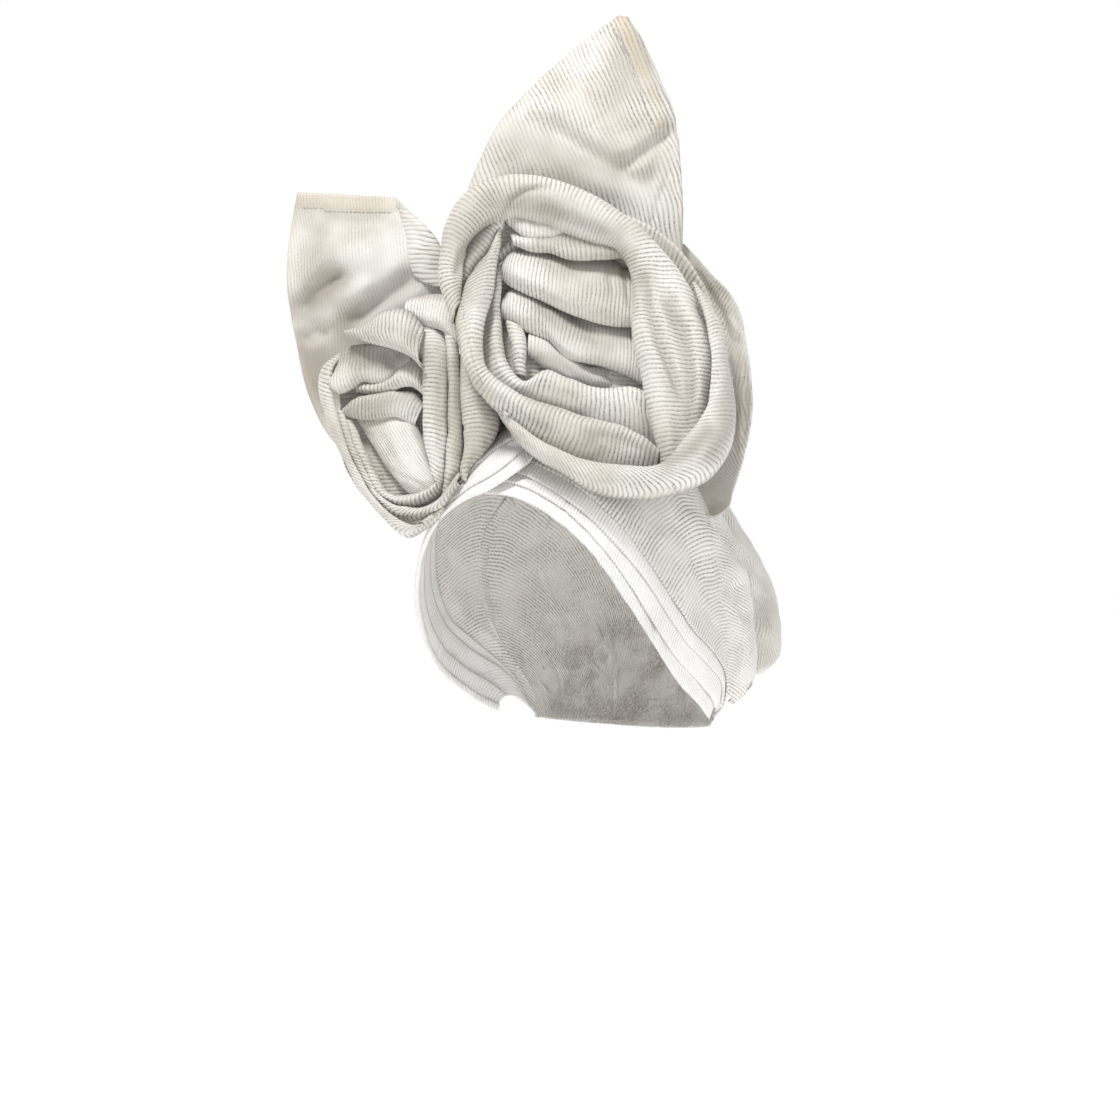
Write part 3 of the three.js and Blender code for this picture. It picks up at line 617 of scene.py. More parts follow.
# the section in steps of a pleat's width, and its height over the pleat's own face
pleatSection = [(0.5, -1.5), (0.22, -1.55), (0.02, -1.3), (-0.05, -0.6), (0.0, -0.12),
                (0.12, 0.0), (0.4, 0.12), (0.8, 0.05), (1.2, 0.0), (1.7, -0.1)]
# degrees across the head, then over it at the edge and at the three lines between the pleats
pleatLines = [
    (-1, 46.8, 49.6, 52.3, 56.5),
    (8, 46.0, 48.7, 50.6, 53.8),
    (20, 42.5, 45.4, 48.0, 52.0),
    (30, 37.2, 40.8, 45.6, 50.0),
    (42, 30.0, 35.0, 42.3, 48.0),
    (52, 25.0, 32.8, 43.0, 50.5),
    (65, 22.5, 36.0, 55.0, 69.0),
    (76, 19.0, 46.0, 88.0, 110.0),
    (80, 19.0, 54.0, 110.0, 132.0),
]
# the right pleats turn up over the left ones: across and over at each line, and their lift
crossingRows = [
    (-13, 44.2, -13, 46.4, -13, 49.4, -13, 53.0, 0.6),
    (-7, 44.8, -7, 46.7, -7, 50.2, -7, 55.5, 2.6),
    (-3, 45.4, -3, 47.8, -3.5, 53.0, -4, 58.5, 4.4),
    (0.5, 46.5, 0, 49.5, -1.5, 55.5, -2.6, 60.5, 4.8),
    (3.5, 49.2, 2.4, 52.5, 0.5, 57.5, -1, 62.5, 5.0),
    (5.6, 53.0, 3.4, 56.0, 2, 60.0, 1, 64.5, 5.0),
    (6.6, 58.5, 4.8, 60.5, 3.6, 63.5, 2.5, 67.0, 5.0),
]


def pleatHeight(k):
    return wrap["out"] + wrap["step"] * np.maximum(2 - k, 0)


def pleatSurface(lines, number):
    def surface(t, s):
        front, back = along(lines[number - 1], t), along(lines[number], t)
        k, extra = along(pleatSection, s).T
        place = front[:, None, :2] + (back - front)[:, None, :2] * k[None, :, None]
        height = pleatHeight(k)[None] + extra[None] + front[:, 2:3]
        return onHead(place[..., 0], place[..., 1], height)

    return surface


def makePleats():
    left = [[(row[0], row[1 + n], 0) for row in pleatLines] for n in range(4)]
    right = [[(-row[0], row[1 + n], 0) for row in pleatLines[2:][::-1]]
             + [(row[2 * n], row[2 * n + 1], row[8]) for row in crossingRows] for n in range(4)]
    for side, seed, lines in (("left", 4, left), ("right", 5, right)):
        for number in (3, 2, 1):
            name = f"brow_pleat_{side}_{number}"
            clothPiece(name + "_cloth", pleatSurface(lines, number), fromHead, name, seed=number + seed,
                       **pleats)


# creases: path over the picture, depth in millimetres (negative raises) and spread in pixels
crown = {
    "held": "stretched",
    "pitch": 2.0,
    "stepAcross": 3.7,
    "seed": 5,
    "roughen": 0.35,
    "wrinkles": 14,
    "hemRim": 0.0,
    # painted light: the crown's cloth is painted paler
    "paintedLight": 0.6,
    "creases": [
        ([(668, 508), (690, 546), (706, 580), (703, 600)], 3.0, 7),
        ([(650, 520), (676, 560), (696, 610)], -2.0, 9),
        ([(684, 506), (704, 535), (718, 560)], -2.0, 7),
    ],
}


def crownSurface(rows):
    table = np.array(rows, float)

    def surface(t, s):
        across, front, middle = along(table, t).T
        over = front[:, None] + (wrap["nape"] - front[:, None]) * (s ** wrap["crownEase"])[None]
        k = (over - front[:, None]) / (front - middle)[:, None]
        side = np.clip(across, -wrap["reach"], wrap["reach"])[:, None] + 0 * over
        return onHead(side, over, pleatHeight(k))

    return surface


def makeCrown():
    front = [(row[0], row[4], row[3]) for row in pleatLines[1:]]
    rows = [(-across, edge, middle) for across, edge, middle in front[::-1]] + [(0, 55, 52)] + front
    clothPiece("crown_cloth", crownSurface(rows), fromHead, "crown_wrap", **crown)


# rows of the folds on the head: start across, start over, end across, end over, height at the crest
sideFold = {
    "rows": [
        (26, 84, 30, 96, 6),
        (36, 78, 40, 101, 9),
        (50, 78, 54, 109, 13),
        (61, 88, 63, 118, 16),
        (68, 108, 66, 134, 14),
        (72, 128, 68, 150, 9),
    ],
    "seat": wrap["seat"] - 2.6,
    "rise": (0, 0.15, 0.3, 0.45, 0.6, 0.75, 0.88),
    "lip": ((0.97, 0.3), (1.01, 1.5), (0.99, 3.0), (0.93, 4.4)),
    "lowest": -0.6,
    # painted light: the side folds' cloth is painted paler
    "sheet": {"pitch": 1.9, "seed": 11, "roughen": 0.8, "wrinkles": 10, "hemRim": 0.0, "paintedLight": 0.6},
    "leftCreases": [
        ([(746, 578), (738, 588), (740, 605), (749, 626)], 4.0, 6),
        ([(700, 515), (717, 541), (730, 568), (748, 578)], -2.5, 8),
        ([(708, 514), (726, 540), (746, 570)], 2.5, 5),
        ([(705, 594), (722, 620), (736, 649), (734, 679)], 2.5, 6),
        ([(715, 590), (736, 610), (748, 645)], -1.8, 7),
    ],
}
puff = {
    "rightRows": [(-63, 125, 133, 6), (-58, 119, 137, 17), (-46, 109, 144, 26), (-24, 99, 151, 29)],
    "middleRow": (0, 96, 155, 29),
    "narrowing": 0.97,
    "shares": (0, 0.07, 0.14, 0.22, 0.3, 0.39, 0.48, 0.57, 0.66, 0.74, 0.82, 0.9, 0.96),
    "crest": 0.72,
    "swell": 1.15,
    "fallOver": 0.36,
    "fall": 0.45,
    "lip": 0.42,
    "lipTurn": (2, 4.2),
    "lipEnd": 0.96,
    "lowest": -0.4,
    "gatherReach": 0.3,
    "gatherDepth": 1.3,
    "gatherStep": 2.9,
    "lipGathers": 0.8,
    "wander": 5,
    "wanderStep": 17.0,
    "swellDepth": 1.2,
    "swellStep": 19,
    "swellLean": 2.5,
    # painted light: the puff's cloth is painted a little paler
    "sheet": {"ribs": "along", "held": "gathered", "seed": 13, "roughen": 1.4, "wrinkles": 24,
              "hemRim": 0.0, "paintedLight": 0.15},
}


def headFoldSurface(rows, line):
    table = np.array(rows, float)

    def surface(t, s):
        at = along(table, t)
        points = np.array([line(peak) for peak in at[:, 4]])
        share, height = np.moveaxis(along(np.moveaxis(points, 1, 0), s), -1, 0)
        share, height = share.T, height.T
        across = at[:, 0:1] + (at[:, 2:3] - at[:, 0:1]) * share
        over = at[:, 1:2] + (at[:, 3:4] - at[:, 1:2]) * share
        return onHead(across, over, height)

    return surface


def sideFoldLine(peak):
    seat = sideFold["seat"]
    rise = [(share, seat + (peak - seat) * smooth(share)) for share in sideFold["rise"]]
    return rise + [(share, max(peak - drop, seat + sideFold["lowest"])) for share, drop in sideFold["lip"]]


def puffLine(peak):
    seat, crest = wrap["seat"], puff["crest"]
    line = []
    for share in puff["shares"]:
        swell = math.sin((math.pi / 2) * min(share / crest, 1)) ** puff["swell"]
        fall = smooth((share - crest) / puff["fallOver"]) * puff["fall"]
        line.append((share, seat + (peak - seat) * (swell - fall)))
    lip = seat + (peak - seat) * puff["lip"]
    under, end = puff["lipTurn"]
    return line + [(1, lip), (1, lip - under), (puff["lipEnd"], max(lip - end, seat + puff["lowest"]))]


def puffGathers(u, share):
    # small pleats run out from the top seam and from the lip
    ends = (np.exp(-(share / puff["gatherReach"]) ** 2)
            + puff["lipGathers"] * np.exp(-((1 - share) / puff["gatherReach"]) ** 2))
    wander = u + puff["wander"] * np.sin(u / puff["wanderStep"])
    return (puff["gatherDepth"] * ends * np.sin(wander / puff["gatherStep"])
            + puff["swellDepth"] * np.sin(u / puff["swellStep"] + share * puff["swellLean"]))


def makeHeadFolds():
    for side, sign in (("left", 1), ("right", -1)):
        rows = [(sign * a, o, sign * c, p, peak) for a, o, c, p, peak in sideFold["rows"]]
        clothPiece(f"crown_fold_{side}_cloth", headFoldSurface(rows, sideFoldLine), fromHead,
                   f"crown_fold_{side}", creases=sideFold["leftCreases"] if side == "left" else (),
                   **sideFold["sheet"])
    right = puff["rightRows"]
    left = [(-a, top, bottom, peak) for a, top, bottom, peak in right[::-1]]
    rows = [(a, top, a * puff["narrowing"], bottom, peak)
            for a, top, bottom, peak in (*right, puff["middleRow"], *left)]
    clothPiece("back_puff_cloth", headFoldSurface(rows, puffLine), fromHead, "back_puff",
               details=(puffGathers,), **puff["sheet"])


# The roses and the leaves

largeRose = {"x": 7, "z": 32, "out": 70, "slopeX": 0, "slopeZ": -0.27}
smallRose = {"x": -97, "z": -9, "out": 46, "slopeX": 0.45, "slopeZ": -0.15}
leafPlace = {"x": 0, "z": 0, "out": 0, "slopeX": 0, "slopeZ": 0}
tallRibs = {"bendAt": 112, "bend": 13, "right": 0.94, "over": 0.34, "lean": 0.05}


def tallLeafRibs(points):
    # parallel to the right edge above, turning upright below
    above = points[..., 2] - tallRibs["bendAt"]
    over = np.logaddexp(0, above / tallRibs["bend"]) * tallRibs["bend"]
    return tallRibs["right"] * (points @ rightWay) + tallRibs["over"] * over + tallRibs["lean"] * above


def straightRibs(right, up):
    # ribs square to the way that right and up give
    return lambda points: right * (points @ rightWay) + up * points[..., 2]


# Each fold's section, and its rows: rim x, z and out, root x, z and out, bulge and valley.
# Marks are paths over the picture with their strength and spread: creases in millimetres (negative
# raises), plains where the ribs fade, shades that paint shade into the colour, hems with a spread alone.

largeFolds = {}
largeFolds["outer_roll"] = {"section": "roll", "rows": [
    (-69, 21.5, -8, -73, 11.5, -13, 5),
    (-70, 40, -4, -76.5, 38.5, -12, 7),
    (-64.5, 55.5, -3, -75, 59.5, -12, 9),
    (-52, 67.5, -3, -64, 77.5, -12, 12),
    (-40, 69.5, -4, -43.5, 85.5, -12, 14),
    (-23.5, 65.5, -4, -20, 82.5, -12, 15),
    (-4, 57.5, -4, 4, 71.5, -12, 14),
    (12.5, 51, -5, 27.5, 54, -12, 12),
    (19.5, 35, -8, 47.5, 32.5, -12, 12, 2),
    (18.5, 12.5, -10, 59, 7.5, -10, 12, 5),
    (23.5, -15, -11, 61, -17.5, -8, 12, 6),
    (28.5, -40, -10, 58.5, -40, -8, 10, 4),
    (32, -55, -8, 55, -54, -8, 8, 2),
    (33, -66, -8, 50, -64, -10, 5),
], "creases": [
    ([(503, 211), (482, 230), (462, 254), (455, 285)], 3.2, 4.5),
    ([(518, 204), (545, 208), (565, 216), (594, 229), (622, 245)], 4.8, 6),
    ([(535, 190), (575, 196), (605, 210), (632, 232)], -2.2, 9),
    ([(643, 268), (648, 300), (658, 340), (674, 378), (684, 412)], 4.4, 5),
    ([(664, 296), (682, 334), (690, 370), (690, 420)], 5.0, 6),
    ([(503, 213), (511, 199), (526, 190), (548, 186)], 2.4, 3),
    ([(656, 270), (682, 300), (706, 345), (712, 380)], -2.4, 6),
    ([(690, 290), (712, 330), (722, 365), (718, 395)], 2.6, 4.5),
    ([(655, 345), (668, 382), (684, 410)], -1.8, 5),
], "plains": [([(530, 196), (560, 200), (600, 220), (628, 244)], 0.9, 9)], "paintedShades": [
    ([(644, 278), (650, 310), (662, 350), (678, 396)], 0.6, 7),
    ([(667, 304), (682, 338), (690, 380), (688, 424)], 0.65, 7),
    ([(700, 318), (712, 360), (710, 405)], 0.45, 6),
    ([(503, 213), (511, 199), (526, 190), (548, 186)], 0.55, 4),
    ([(520, 206), (560, 217), (600, 234)], 0.35, 7),
    ([(503, 212), (480, 236), (462, 262)], 0.4, 5),
]}
largeFolds["bottom_roll"] = {"section": "belly", "rows": [
    (50.5, 34, -11, 52, 33, -14, 1),
    (56, 19, -2, 60, 19, -12, 2),
    (58.5, 5, 4, 66, 4, -12, 4),
    (59.5, -15, 8, 67, -20, -13, 6),
    (55.5, -33.5, 10, 70, -37, -14, 9),
    (45.5, -47.5, 11, 67.5, -56, -14, 12),
    (33, -61, 11, 52.5, -71.5, -14, 12),
    (15, -62, 8, 27.5, -78.5, -14, 11),
    (-5, -59.5, 6, 2.5, -76, -14, 10),
    (-23.5, -52, 4, -18.5, -65, -14, 9),
    (-40, -39.5, 2, -35, -54, -13, 8),
    (-51, -28.5, -9, -46.5, -40, -14, 4),
    (-57, -20, -16, -52, -28, -18, 1),
], "creases": [
    ([(690, 425), (712, 395), (722, 360)], 1.2, 4),
    ([(560, 457), (610, 478), (660, 484)], 1.0, 4),
    ([(640, 470), (690, 470), (722, 440)], -1.2, 6),
], "hems": [([(512, 425), (545, 446), (580, 461)], 2.2)], "paintedShades": [
    ([(735, 330), (733, 380), (726, 425), (712, 455)], 0.8, 13),
    ([(668, 462), (692, 449), (708, 430)], 0.9, 9),
]}
largeFolds["hem_petal"] = {"section": "petal", "rows": [
    (-48, 62, -11, -51, 57, -13, 3),
    (-49, 52.5, -7, -56, 46.5, -12, 4),
    (-50.5, 39.5, -3, -66.5, 34.5, -13, 5),
    (-52, 27.5, -1, -71, 22, -14, 6),
    (-56.5, 10, 0, -71, 7.5, -12, 6),
    (-57.5, -5.5, 0, -65.5, -10.5, -11, 5),
    (-51.5, -16.5, 0, -57.5, -25.5, -9, 5),
    (-35, -26.5, -1, -41.5, -42.5, -7, 6),
    (-15, -33, -2, -23.5, -56.5, -6, 6),
    (4.5, -39, -2, -2.5, -64.5, -6, 6),
    (22.5, -45.5, -4, 16.5, -66.5, -6, 5),
    (33, -53.5, -8, 30.5, -65, -8, 3),
], "creases": [
    ([(560, 417), (590, 424), (622, 428), (645, 441)], -1.2, 4),
    ([(590, 433), (620, 440), (648, 452)], 1.8, 5),
    ([(470, 290), (466, 320), (469, 350), (478, 378)], 1.0, 2.5),
    ([(500, 402), (530, 422), (560, 436)], 0.8, 5),
], "paintedShades": [
    ([(590, 434), (620, 440), (648, 450)], 0.5, 9),
    ([(482, 385), (500, 398)], 0.45, 8),
    ([(490, 240), (486, 270), (480, 300)], 0.55, 10),
], "hems": [([(459, 280), (456, 300), (463, 334), (468, 360), (478, 385), (492, 400)], 4.5)]}
largeFolds["left_band"] = {"section": "petal", "rows": [
    (-45.5, 67.5, -12, -49, 71, -16, 3),
    (-48.5, 59.5, -12, -56.5, 65.5, -16, 4),
    (-55.5, 49.5, -12, -64.5, 57.5, -16, 4),
    (-62.5, 40.5, -13, -70, 45.5, -17, 4),
    (-66, 28, -17, -72, 31, -19, 3),
]}
largeFolds["lower_petal"] = {"section": "petal", "rows": [
    (-47, 45, -13, -50, 41.5, -17, 2),
    (-48.5, 25, -11, -54, 22.5, -15, 3),
    (-47.5, 6.5, -10, -58, 4, -13, 4),
    (-44, -9.5, -9, -57, -15, -13, 4),
    (-35.5, -18.5, -9, -45, -28.5, -12, 5),
    (-24.5, -12.5, -10, -29.5, -33.5, -11, 5),
    (-12.5, -16.5, -10, -15, -39.5, -11, 6),
    (2.5, -21, -10, 1.5, -44.5, -12, 6),
    (17.5, -21, -11, 18.5, -50.5, -13, 5),
    (27.5, -23.5, -15, 32.5, -52.5, -17, 3),
], "creases": [
    ([(545, 371), (572, 382), (600, 392)], 1.0, 5),
    ([(622, 392), (640, 405), (652, 424)], 1.2, 4),
    ([(500, 372), (540, 396), (590, 412)], -0.8, 6),
]}
largeFolds["loop"] = {"section": "roll", "rows": [
    (-45.5, 13.5, -14, -37, 9.5, -14, 4),
    (-43, 2.5, -13, -35, 2.5, -13, 5),
    (-42, -6.5, -13, -34.5, -7.5, -13, 5),
    (-40, -15, -14, -35, -16, -14, 3),
]}
largeFolds["heart"] = {"section": "roll", "rows": [
    (-33.5, 6.5, -16, -34.5, -4.5, -15, 5),
    (-23.5, 3.5, -16, -25, -11.5, -15, 5),
    (-16.5, -3.5, -18, -14.5, -16.5, -17, 4),
    (-4.5, -9, -21, -0.5, -20.5, -20, 4),
    (10, -10.5, -24, 12.5, -21.5, -24, 3),
    (22.5, -15.5, -26, 23.5, -21.5, -26, 2),
], "creases": [
    ([(532, 345), (556, 356), (584, 372)], -1.2, 5),
    ([(575, 362), (600, 372), (630, 380)], 1.6, 5),
], "paintedShades": [([(540, 356), (575, 366), (605, 376), (640, 384)], 0.6, 12)], "pitch": 1.9, "plain": 0.45}
largeFolds["fold_3"] = {"section": "petal", "rows": [
    (-47.5, 16.5, -15, -47, 26.5, -21, 5),
    (-40.5, 11, -12, -40.5, 33.5, -21, 7),
    (-24.5, 4, -12, -25, 28.5, -21, 7),
    (-14.5, -6, -13, -10.5, 20, -21, 6),
    (2.5, -9.5, -14, 5.5, 15.5, -21, 5),
    (15.5, -14, -15, 17.5, 13.5, -21, 4),
    (25.5, -20, -17, 24.5, 7.5, -21, 3),
], "creases": [
    ([(545, 326), (556, 340), (575, 355), (600, 363)], -1.6, 4),
    ([(535, 300), (550, 318), (562, 330)], 1.2, 5),
    ([(560, 305), (585, 325), (606, 350)], 1.6, 7),
    ([(505, 300), (515, 290), (530, 292)], -0.8, 4),
], "paintedShades": [
    ([(545, 308), (575, 328), (605, 345)], 0.8, 16),
    ([(600, 350), (620, 365), (640, 375)], 0.4, 9),
], "pitch": 2.1, "plain": 0.2}
largeFolds["fold_2"] = {"section": "petal", "rows": [
    (-49, 37.5, -14, -45.5, 48.5, -20, 4),
    (-42, 31.5, -10, -40, 52.5, -20, 7),
    (-27.5, 24.5, -9, -25, 52.5, -20, 8),
    (-10, 16, -9, -6.5, 49.5, -20, 8),
    (5.5, 12, -10, 8.5, 46.5, -20, 7),
    (21.5, 10, -13, 20.5, 38.5, -20, 5),
], "creases": [
    ([(619, 258), (627, 285), (630, 312)], 1.6, 3),
    ([(603, 258), (610, 278), (613, 300)], 1.0, 3),
    ([(522, 252), (530, 270), (548, 284)], 1.4, 5),
    ([(505, 268), (520, 276), (545, 290), (575, 303)], -1.0, 5),
    ([(560, 262), (585, 276), (600, 296)], 0.9, 8),
], "paintedShades": [([(540, 258), (580, 266), (620, 268)], 0.4, 12)], "pitch": 2.15, "plain": 0.15}
largeFolds["fold_1"] = {"section": "petal", "rows": [
    (-42, 54, -11, -43.5, 60, -14, 2),
    (-31.5, 50, -9, -32.5, 60, -14, 3),
    (-22, 49, -8, -22, 62, -14, 3.5),
    (-11.5, 45, -7, -12.5, 64, -15, 4),
    (2.5, 45.5, -7, 1.5, 60, -15, 3.5),
    (16, 47, -10, 15, 54, -15, 2),
], "creases": [
    ([(523, 231), (540, 236), (560, 232)], 1.2, 3),
    ([(560, 240), (590, 243), (622, 250)], 1.2, 4),
], "paintedShades": [([(540, 240), (590, 244), (630, 254)], 0.75, 12)], "plain": 0.35}
largeFolds["top_petal"] = {"section": "petal", "rows": [
    (-45, 65.5, -10, -44, 71, -17, 3),
    (-36.5, 58.5, -8, -37.5, 74.5, -19, 4),
    (-23.5, 57, -9, -25, 75.5, -19, 4),
    (-9.5, 60.5, -12, -10.5, 69.5, -18, 3),
], "creases": [([(520, 205), (533, 222), (548, 230)], 1.4, 3.5)], "plain": 0.5}
largeFolds["deep_fold"] = {"section": "leaf", "rows": [
    (-50, 68, -21, 20, 66, -21, 0),
    (-52, 40, -23, 24, 40, -23, -1),
    (-50, 14, -21, 28, 10, -23, -1),
    (-45, -12, -19, 30, -15, -22, 0),
    (-38, -32, -18, 32, -34, -22, 0),
], "plain": 0.3, "rootShade": 0.0}

smallFolds = {}
smallFolds["rim_1"] = {"section": "belly", "rows": [
    (-28, 40, -9, -30, 41, -14, 0.5),
    (-33, 32, 1, -36.5, 33, -12, 3),
    (-33.5, 20, 2, -39, 22.5, -12, 4),
    (-29.5, 5, 2, -36.5, 10.5, -12, 4),
    (-23.5, -11.5, 2, -28.5, -9.5, -12, 4),
    (-13, -31, 2, -19, -28, -12, 4),
    (0, -45, 2, -5, -46, -12, 4),
    (13, -50.5, 2, 9, -56.5, -11, 4),
    (26.5, -41, -8, 25, -47, -14, 1),
], "creases": [([(322, 381), (336, 392), (350, 388)], 1.2, 3)], "plain": 0.15}
smallFolds["rim_2"] = {"section": "belly", "rows": [
    (-28, 10, -4, -31, 9, -9, 2),
    (-22.5, -5, -4, -26, -5.5, -10, 3),
    (-15, -21, -4, -19.5, -20, -10, 3),
    (-5, -36.5, -4, -10.5, -34.5, -10, 3),
    (10, -41.5, -4, 6, -48, -10, 3),
    (23.5, -38, -4, 23, -44, -10, 3),
    (34.5, -24, -4, 36, -30, -9, 3),
]}
smallFolds["rim_3"] = {"section": "petal", "rows": [
    (-23, 5.5, -8, -26, 4.5, -12, 2),
    (-17, -8, -8, -21.5, -8.5, -12, 3),
    (-10, -23, -8, -15, -23, -12, 3),
    (-2, -33.5, -8, -7, -37, -12, 3),
    (9, -34.5, -8, 9, -41, -12, 3),
    (22, -28, -8, 24, -35, -12, 3),
    (26, -21, -9, 30, -26, -12, 2),
]}
smallFolds["tongue"] = {"section": "roll", "rows": [
    (-21, 8, -15, 8, 10, -16, 4),
    (-15.5, -2, -14, 13, 1, -14, 5),
    (-9.5, -11, -13, 17, -8, -12, 5),
    (-3, -21, -12, 20, -18, -10, 5),
    (4.5, -29.5, -11, 23.5, -26, -8.5, 4),
    (12, -37, -13, 26, -33, -11, 2),
], "ribs": "along", "creases": [
    ([(404, 418), (414, 440), (424, 462), (434, 478)], -1.8, 4.5),
    ([(376, 428), (390, 452), (402, 474)], 1.0, 5),
    ([(396, 420), (402, 445), (410, 465)], 1.2, 4),
], "pitch": 1.7, "plain": 0.3}
smallFolds["spear"] = {"section": "roll", "rows": [
    (-27.5, 8, -6, -28, 9.5, -5.5, 1),
    (-21, 6, -8, -20, 15, -5, 2.5),
    (-15, 5, -9, -13.5, 17.5, -5, 3),
    (-6.5, 5, -9.5, -6, 19, -6, 3),
    (1, 6, -10, 3, 20, -8, 2.5),
    (7.5, 3, -11.5, 11.5, 18.5, -10, 2),
    (11.5, 1, -13, 17, 12.5, -12, 1.5),
], "creases": [([(345, 405), (362, 399), (385, 397)], -0.8, 3)], "paintedShades": [
    ([(350, 408), (375, 408), (395, 398), (415, 395)], 0.5, 9),
], "pitch": 2.0, "plain": 0.2}
smallFolds["upper_petal"] = {"section": "petal", "rows": [
    (-34.5, 24.5, -1, -35, 33, -7, 3),
    (-29, 19, -1, -30.5, 39, -9, 4),
    (-22.5, 21, -3, -24.5, 43.5, -9, 4),
    (-16.5, 25, -6, -18, 44.5, -9, 3),
    (-10.5, 24, -7, -10, 44.5, -10, 3),
    (-3, 24.5, -8, -3, 43, -10, 3),
    (4, 30, -9, 3, 41, -11, 2),
    (9, 35, -10, 8.5, 40, -12, 1),
], "creases": [
    ([(346, 350), (356, 364), (372, 372)], 1.6, 5),
    ([(324, 382), (338, 390), (352, 384)], -1.0, 4),
    ([(385, 345), (390, 362), (400, 372)], 1.0, 5),
], "paintedShades": [([(345, 348), (360, 362), (395, 360)], 0.85, 15)], "pitch": 1.9, "plain": 0.35}
smallFolds["back_petal"] = {"section": "petal", "rows": [
    (-20, 20, -9, -18.5, 27, -12, 2),
    (-12.5, 19, -8.5, -11, 26, -12, 2.5),
    (-6, 19, -8, -5, 27, -12, 3),
    (0, 20.5, -7, 0, 29, -12, 3.5),
    (4, 22.5, -5, 4, 33, -12, 4),
    (9, 22, -5, 9, 36, -12, 4),
    (13.5, 19.5, -6, 13.5, 35, -12, 4),
    (18, 14, -9, 18, 30, -13, 3),
], "creases": [([(393, 384), (405, 380), (418, 390)], 1.0, 3)], "plain": 0.25}
smallFolds["deep_fold"] = {"section": "leaf", "rows": [
    (-28, 42, -14, 16, 44, -18, 0),
    (-30, 22, -17, 22, 22, -20, -1),
    (-26, 2, -17, 24, 2, -19, -1),
    (-17, -20, -16, 26, -18, -17, 0),
    (-6, -38, -14, 28, -34, -14, 0),
    (4, -52, -12, 24, -48, -12, 0),
], "plain": 0.3, "rootShade": 0.0}
smallFolds["top_flap"] = {"section": "petal", "rows": [
    (-25.5, 49.5, 1, -25, 52, -4, 2),
    (-12.5, 45, 3, -14, 56.5, -7, 4),
    (0.5, 41, 4, -3.5, 62.5, -9, 6),
    (9, 36.5, 4, 7.5, 61.5, -8, 6),
    (15.5, 30, 2, 16.5, 52, -8, 4),
], "paintedShades": [([(350, 335), (385, 327), (412, 336)], 0.5, 12)]}
smallFolds["side_fold_1"] = {"section": "roll", "rows": [
    (13, 56, -19, 24, 56, -19, 4),
    (15.5, 40, -11, 28, 40, -12, 6),
    (16, 18, -8, 28.5, 18, -9, 7),
    (17, -2.5, -8, 28.5, -5, -9, 7),
    (20.5, -21, -8, 27, -25, -9, 5),
    (23.5, -30, -8, 25.5, -31, -9, 2),
], "creases": [([(440, 365), (438, 400), (440, 440), (438, 470)], 1.3, 3)]}
smallFolds["side_fold_2"] = {"section": "roll", "rows": [
    (24, 60, -19, 33, 60, -19, 4),
    (28, 42, -14, 34, 42, -14, 4),
    (29.5, 18, -11, 35, 18, -12, 5),
    (29.5, 0, -11, 36.5, -4, -12, 5),
    (28.5, -16.5, -11, 36, -18.5, -12, 5),
    (27.5, -26, -11, 33, -28, -12, 4),
    (26, -34, -12, 31, -36, -13, 2),
], "paintedShades": [([(456, 365), (458, 440), (455, 478)], 0.5, 8)]}
smallFolds["side_fold_3"] = {"section": "roll", "rows": [
    (31, 62, -20, 40, 60, -20, 4),
    (34.5, 42, -15, 42, 41, -16, 5),
    (35.5, 18, -12, 48, 21, -17, 7),
    (37, 2.5, -12, 55.5, 3, -18, 9),
    (37, -10.5, -12, 49.5, -11, -17, 7),
    (35, -21, -11, 41, -21, -14, 4),
    (36.5, -27, -9, 38.5, -28, -11, 1.5),
], "creases": [
    ([(462, 370), (470, 400), (474, 430)], 1.2, 4),
    ([(470, 365), (484, 392), (490, 415)], -0.9, 5),
]}
smallFolds["bridge_fold"] = {"section": "petal", "rows": [
    (6, 60, -10, 7, 68, -14, 2),
    (15, 55, -12, 16, 70, -16, 4),
    (26, 49, -12, 26, 70, -17, 5),
    (33, 44, -15, 34, 66, -20, 5),
    (40, 40, -20, 42, 56, -24, 4),
], "creases": [
    ([(428, 345), (440, 352), (452, 351)], 1.8, 4),
    ([(430, 320), (444, 335), (456, 352)], 1.2, 5),
], "pitch": 2.0, "plain": 0.25}

leafFolds = {}
leafFolds["tall_leaf"] = {"section": "leaf", "rows": [
    (-33, -12, 0, 24, -12, 2, -2),
    (-46, 20, 5, 42, 20, 6, 3),
    (-59, 60, 8, 55, 60, 9, 7),
    (-61, 88, 9, 54, 82, 11, 9),
    (-60, 115, 9, 54, 108, 12, 11),
    (-51.5, 137, 9, 53, 129, 12, 11),
    (-41, 156, 8, 50, 156, 10, 9),
    (-17, 181, 6, 43.5, 174, 8, 7),
    (5, 199.5, 5, 34, 195.5, 6, 4),
    (19.5, 210.5, 5, 25, 209.5, 5, 1),
], "ribs": tallLeafRibs, "creases": [
    ([(524, 108), (552, 126), (580, 147), (610, 166), (656, 192)], 7, 12),
    ([(500, 150), (540, 168), (590, 182), (640, 196)], -4, 20),
    ([(680, 120), (660, 140), (634, 160), (612, 166)], 5, 8),
    ([(668, 142), (655, 165), (652, 188)], 2.5, 8),
    ([(671, 166), (660, 197), (654, 218), (642, 236)], 1.6, 3),
], "plains": [
    ([(505, 130), (550, 150), (590, 170), (640, 188)], 0.95, 17),
    ([(660, 140), (640, 165)], 0.6, 10),
], "hems": [([(622, 20), (638, 55), (652, 95), (660, 124)], 6.5)], "paintedShades": [
    ([(530, 114), (563, 134), (593, 158), (619, 168)], 0.32, 9),
    ([(520, 140), (560, 158), (610, 176)], 0.6, 24),
    ([(668, 128), (655, 140), (640, 155)], 0.4, 10),
], "hemWidth": 1.2}
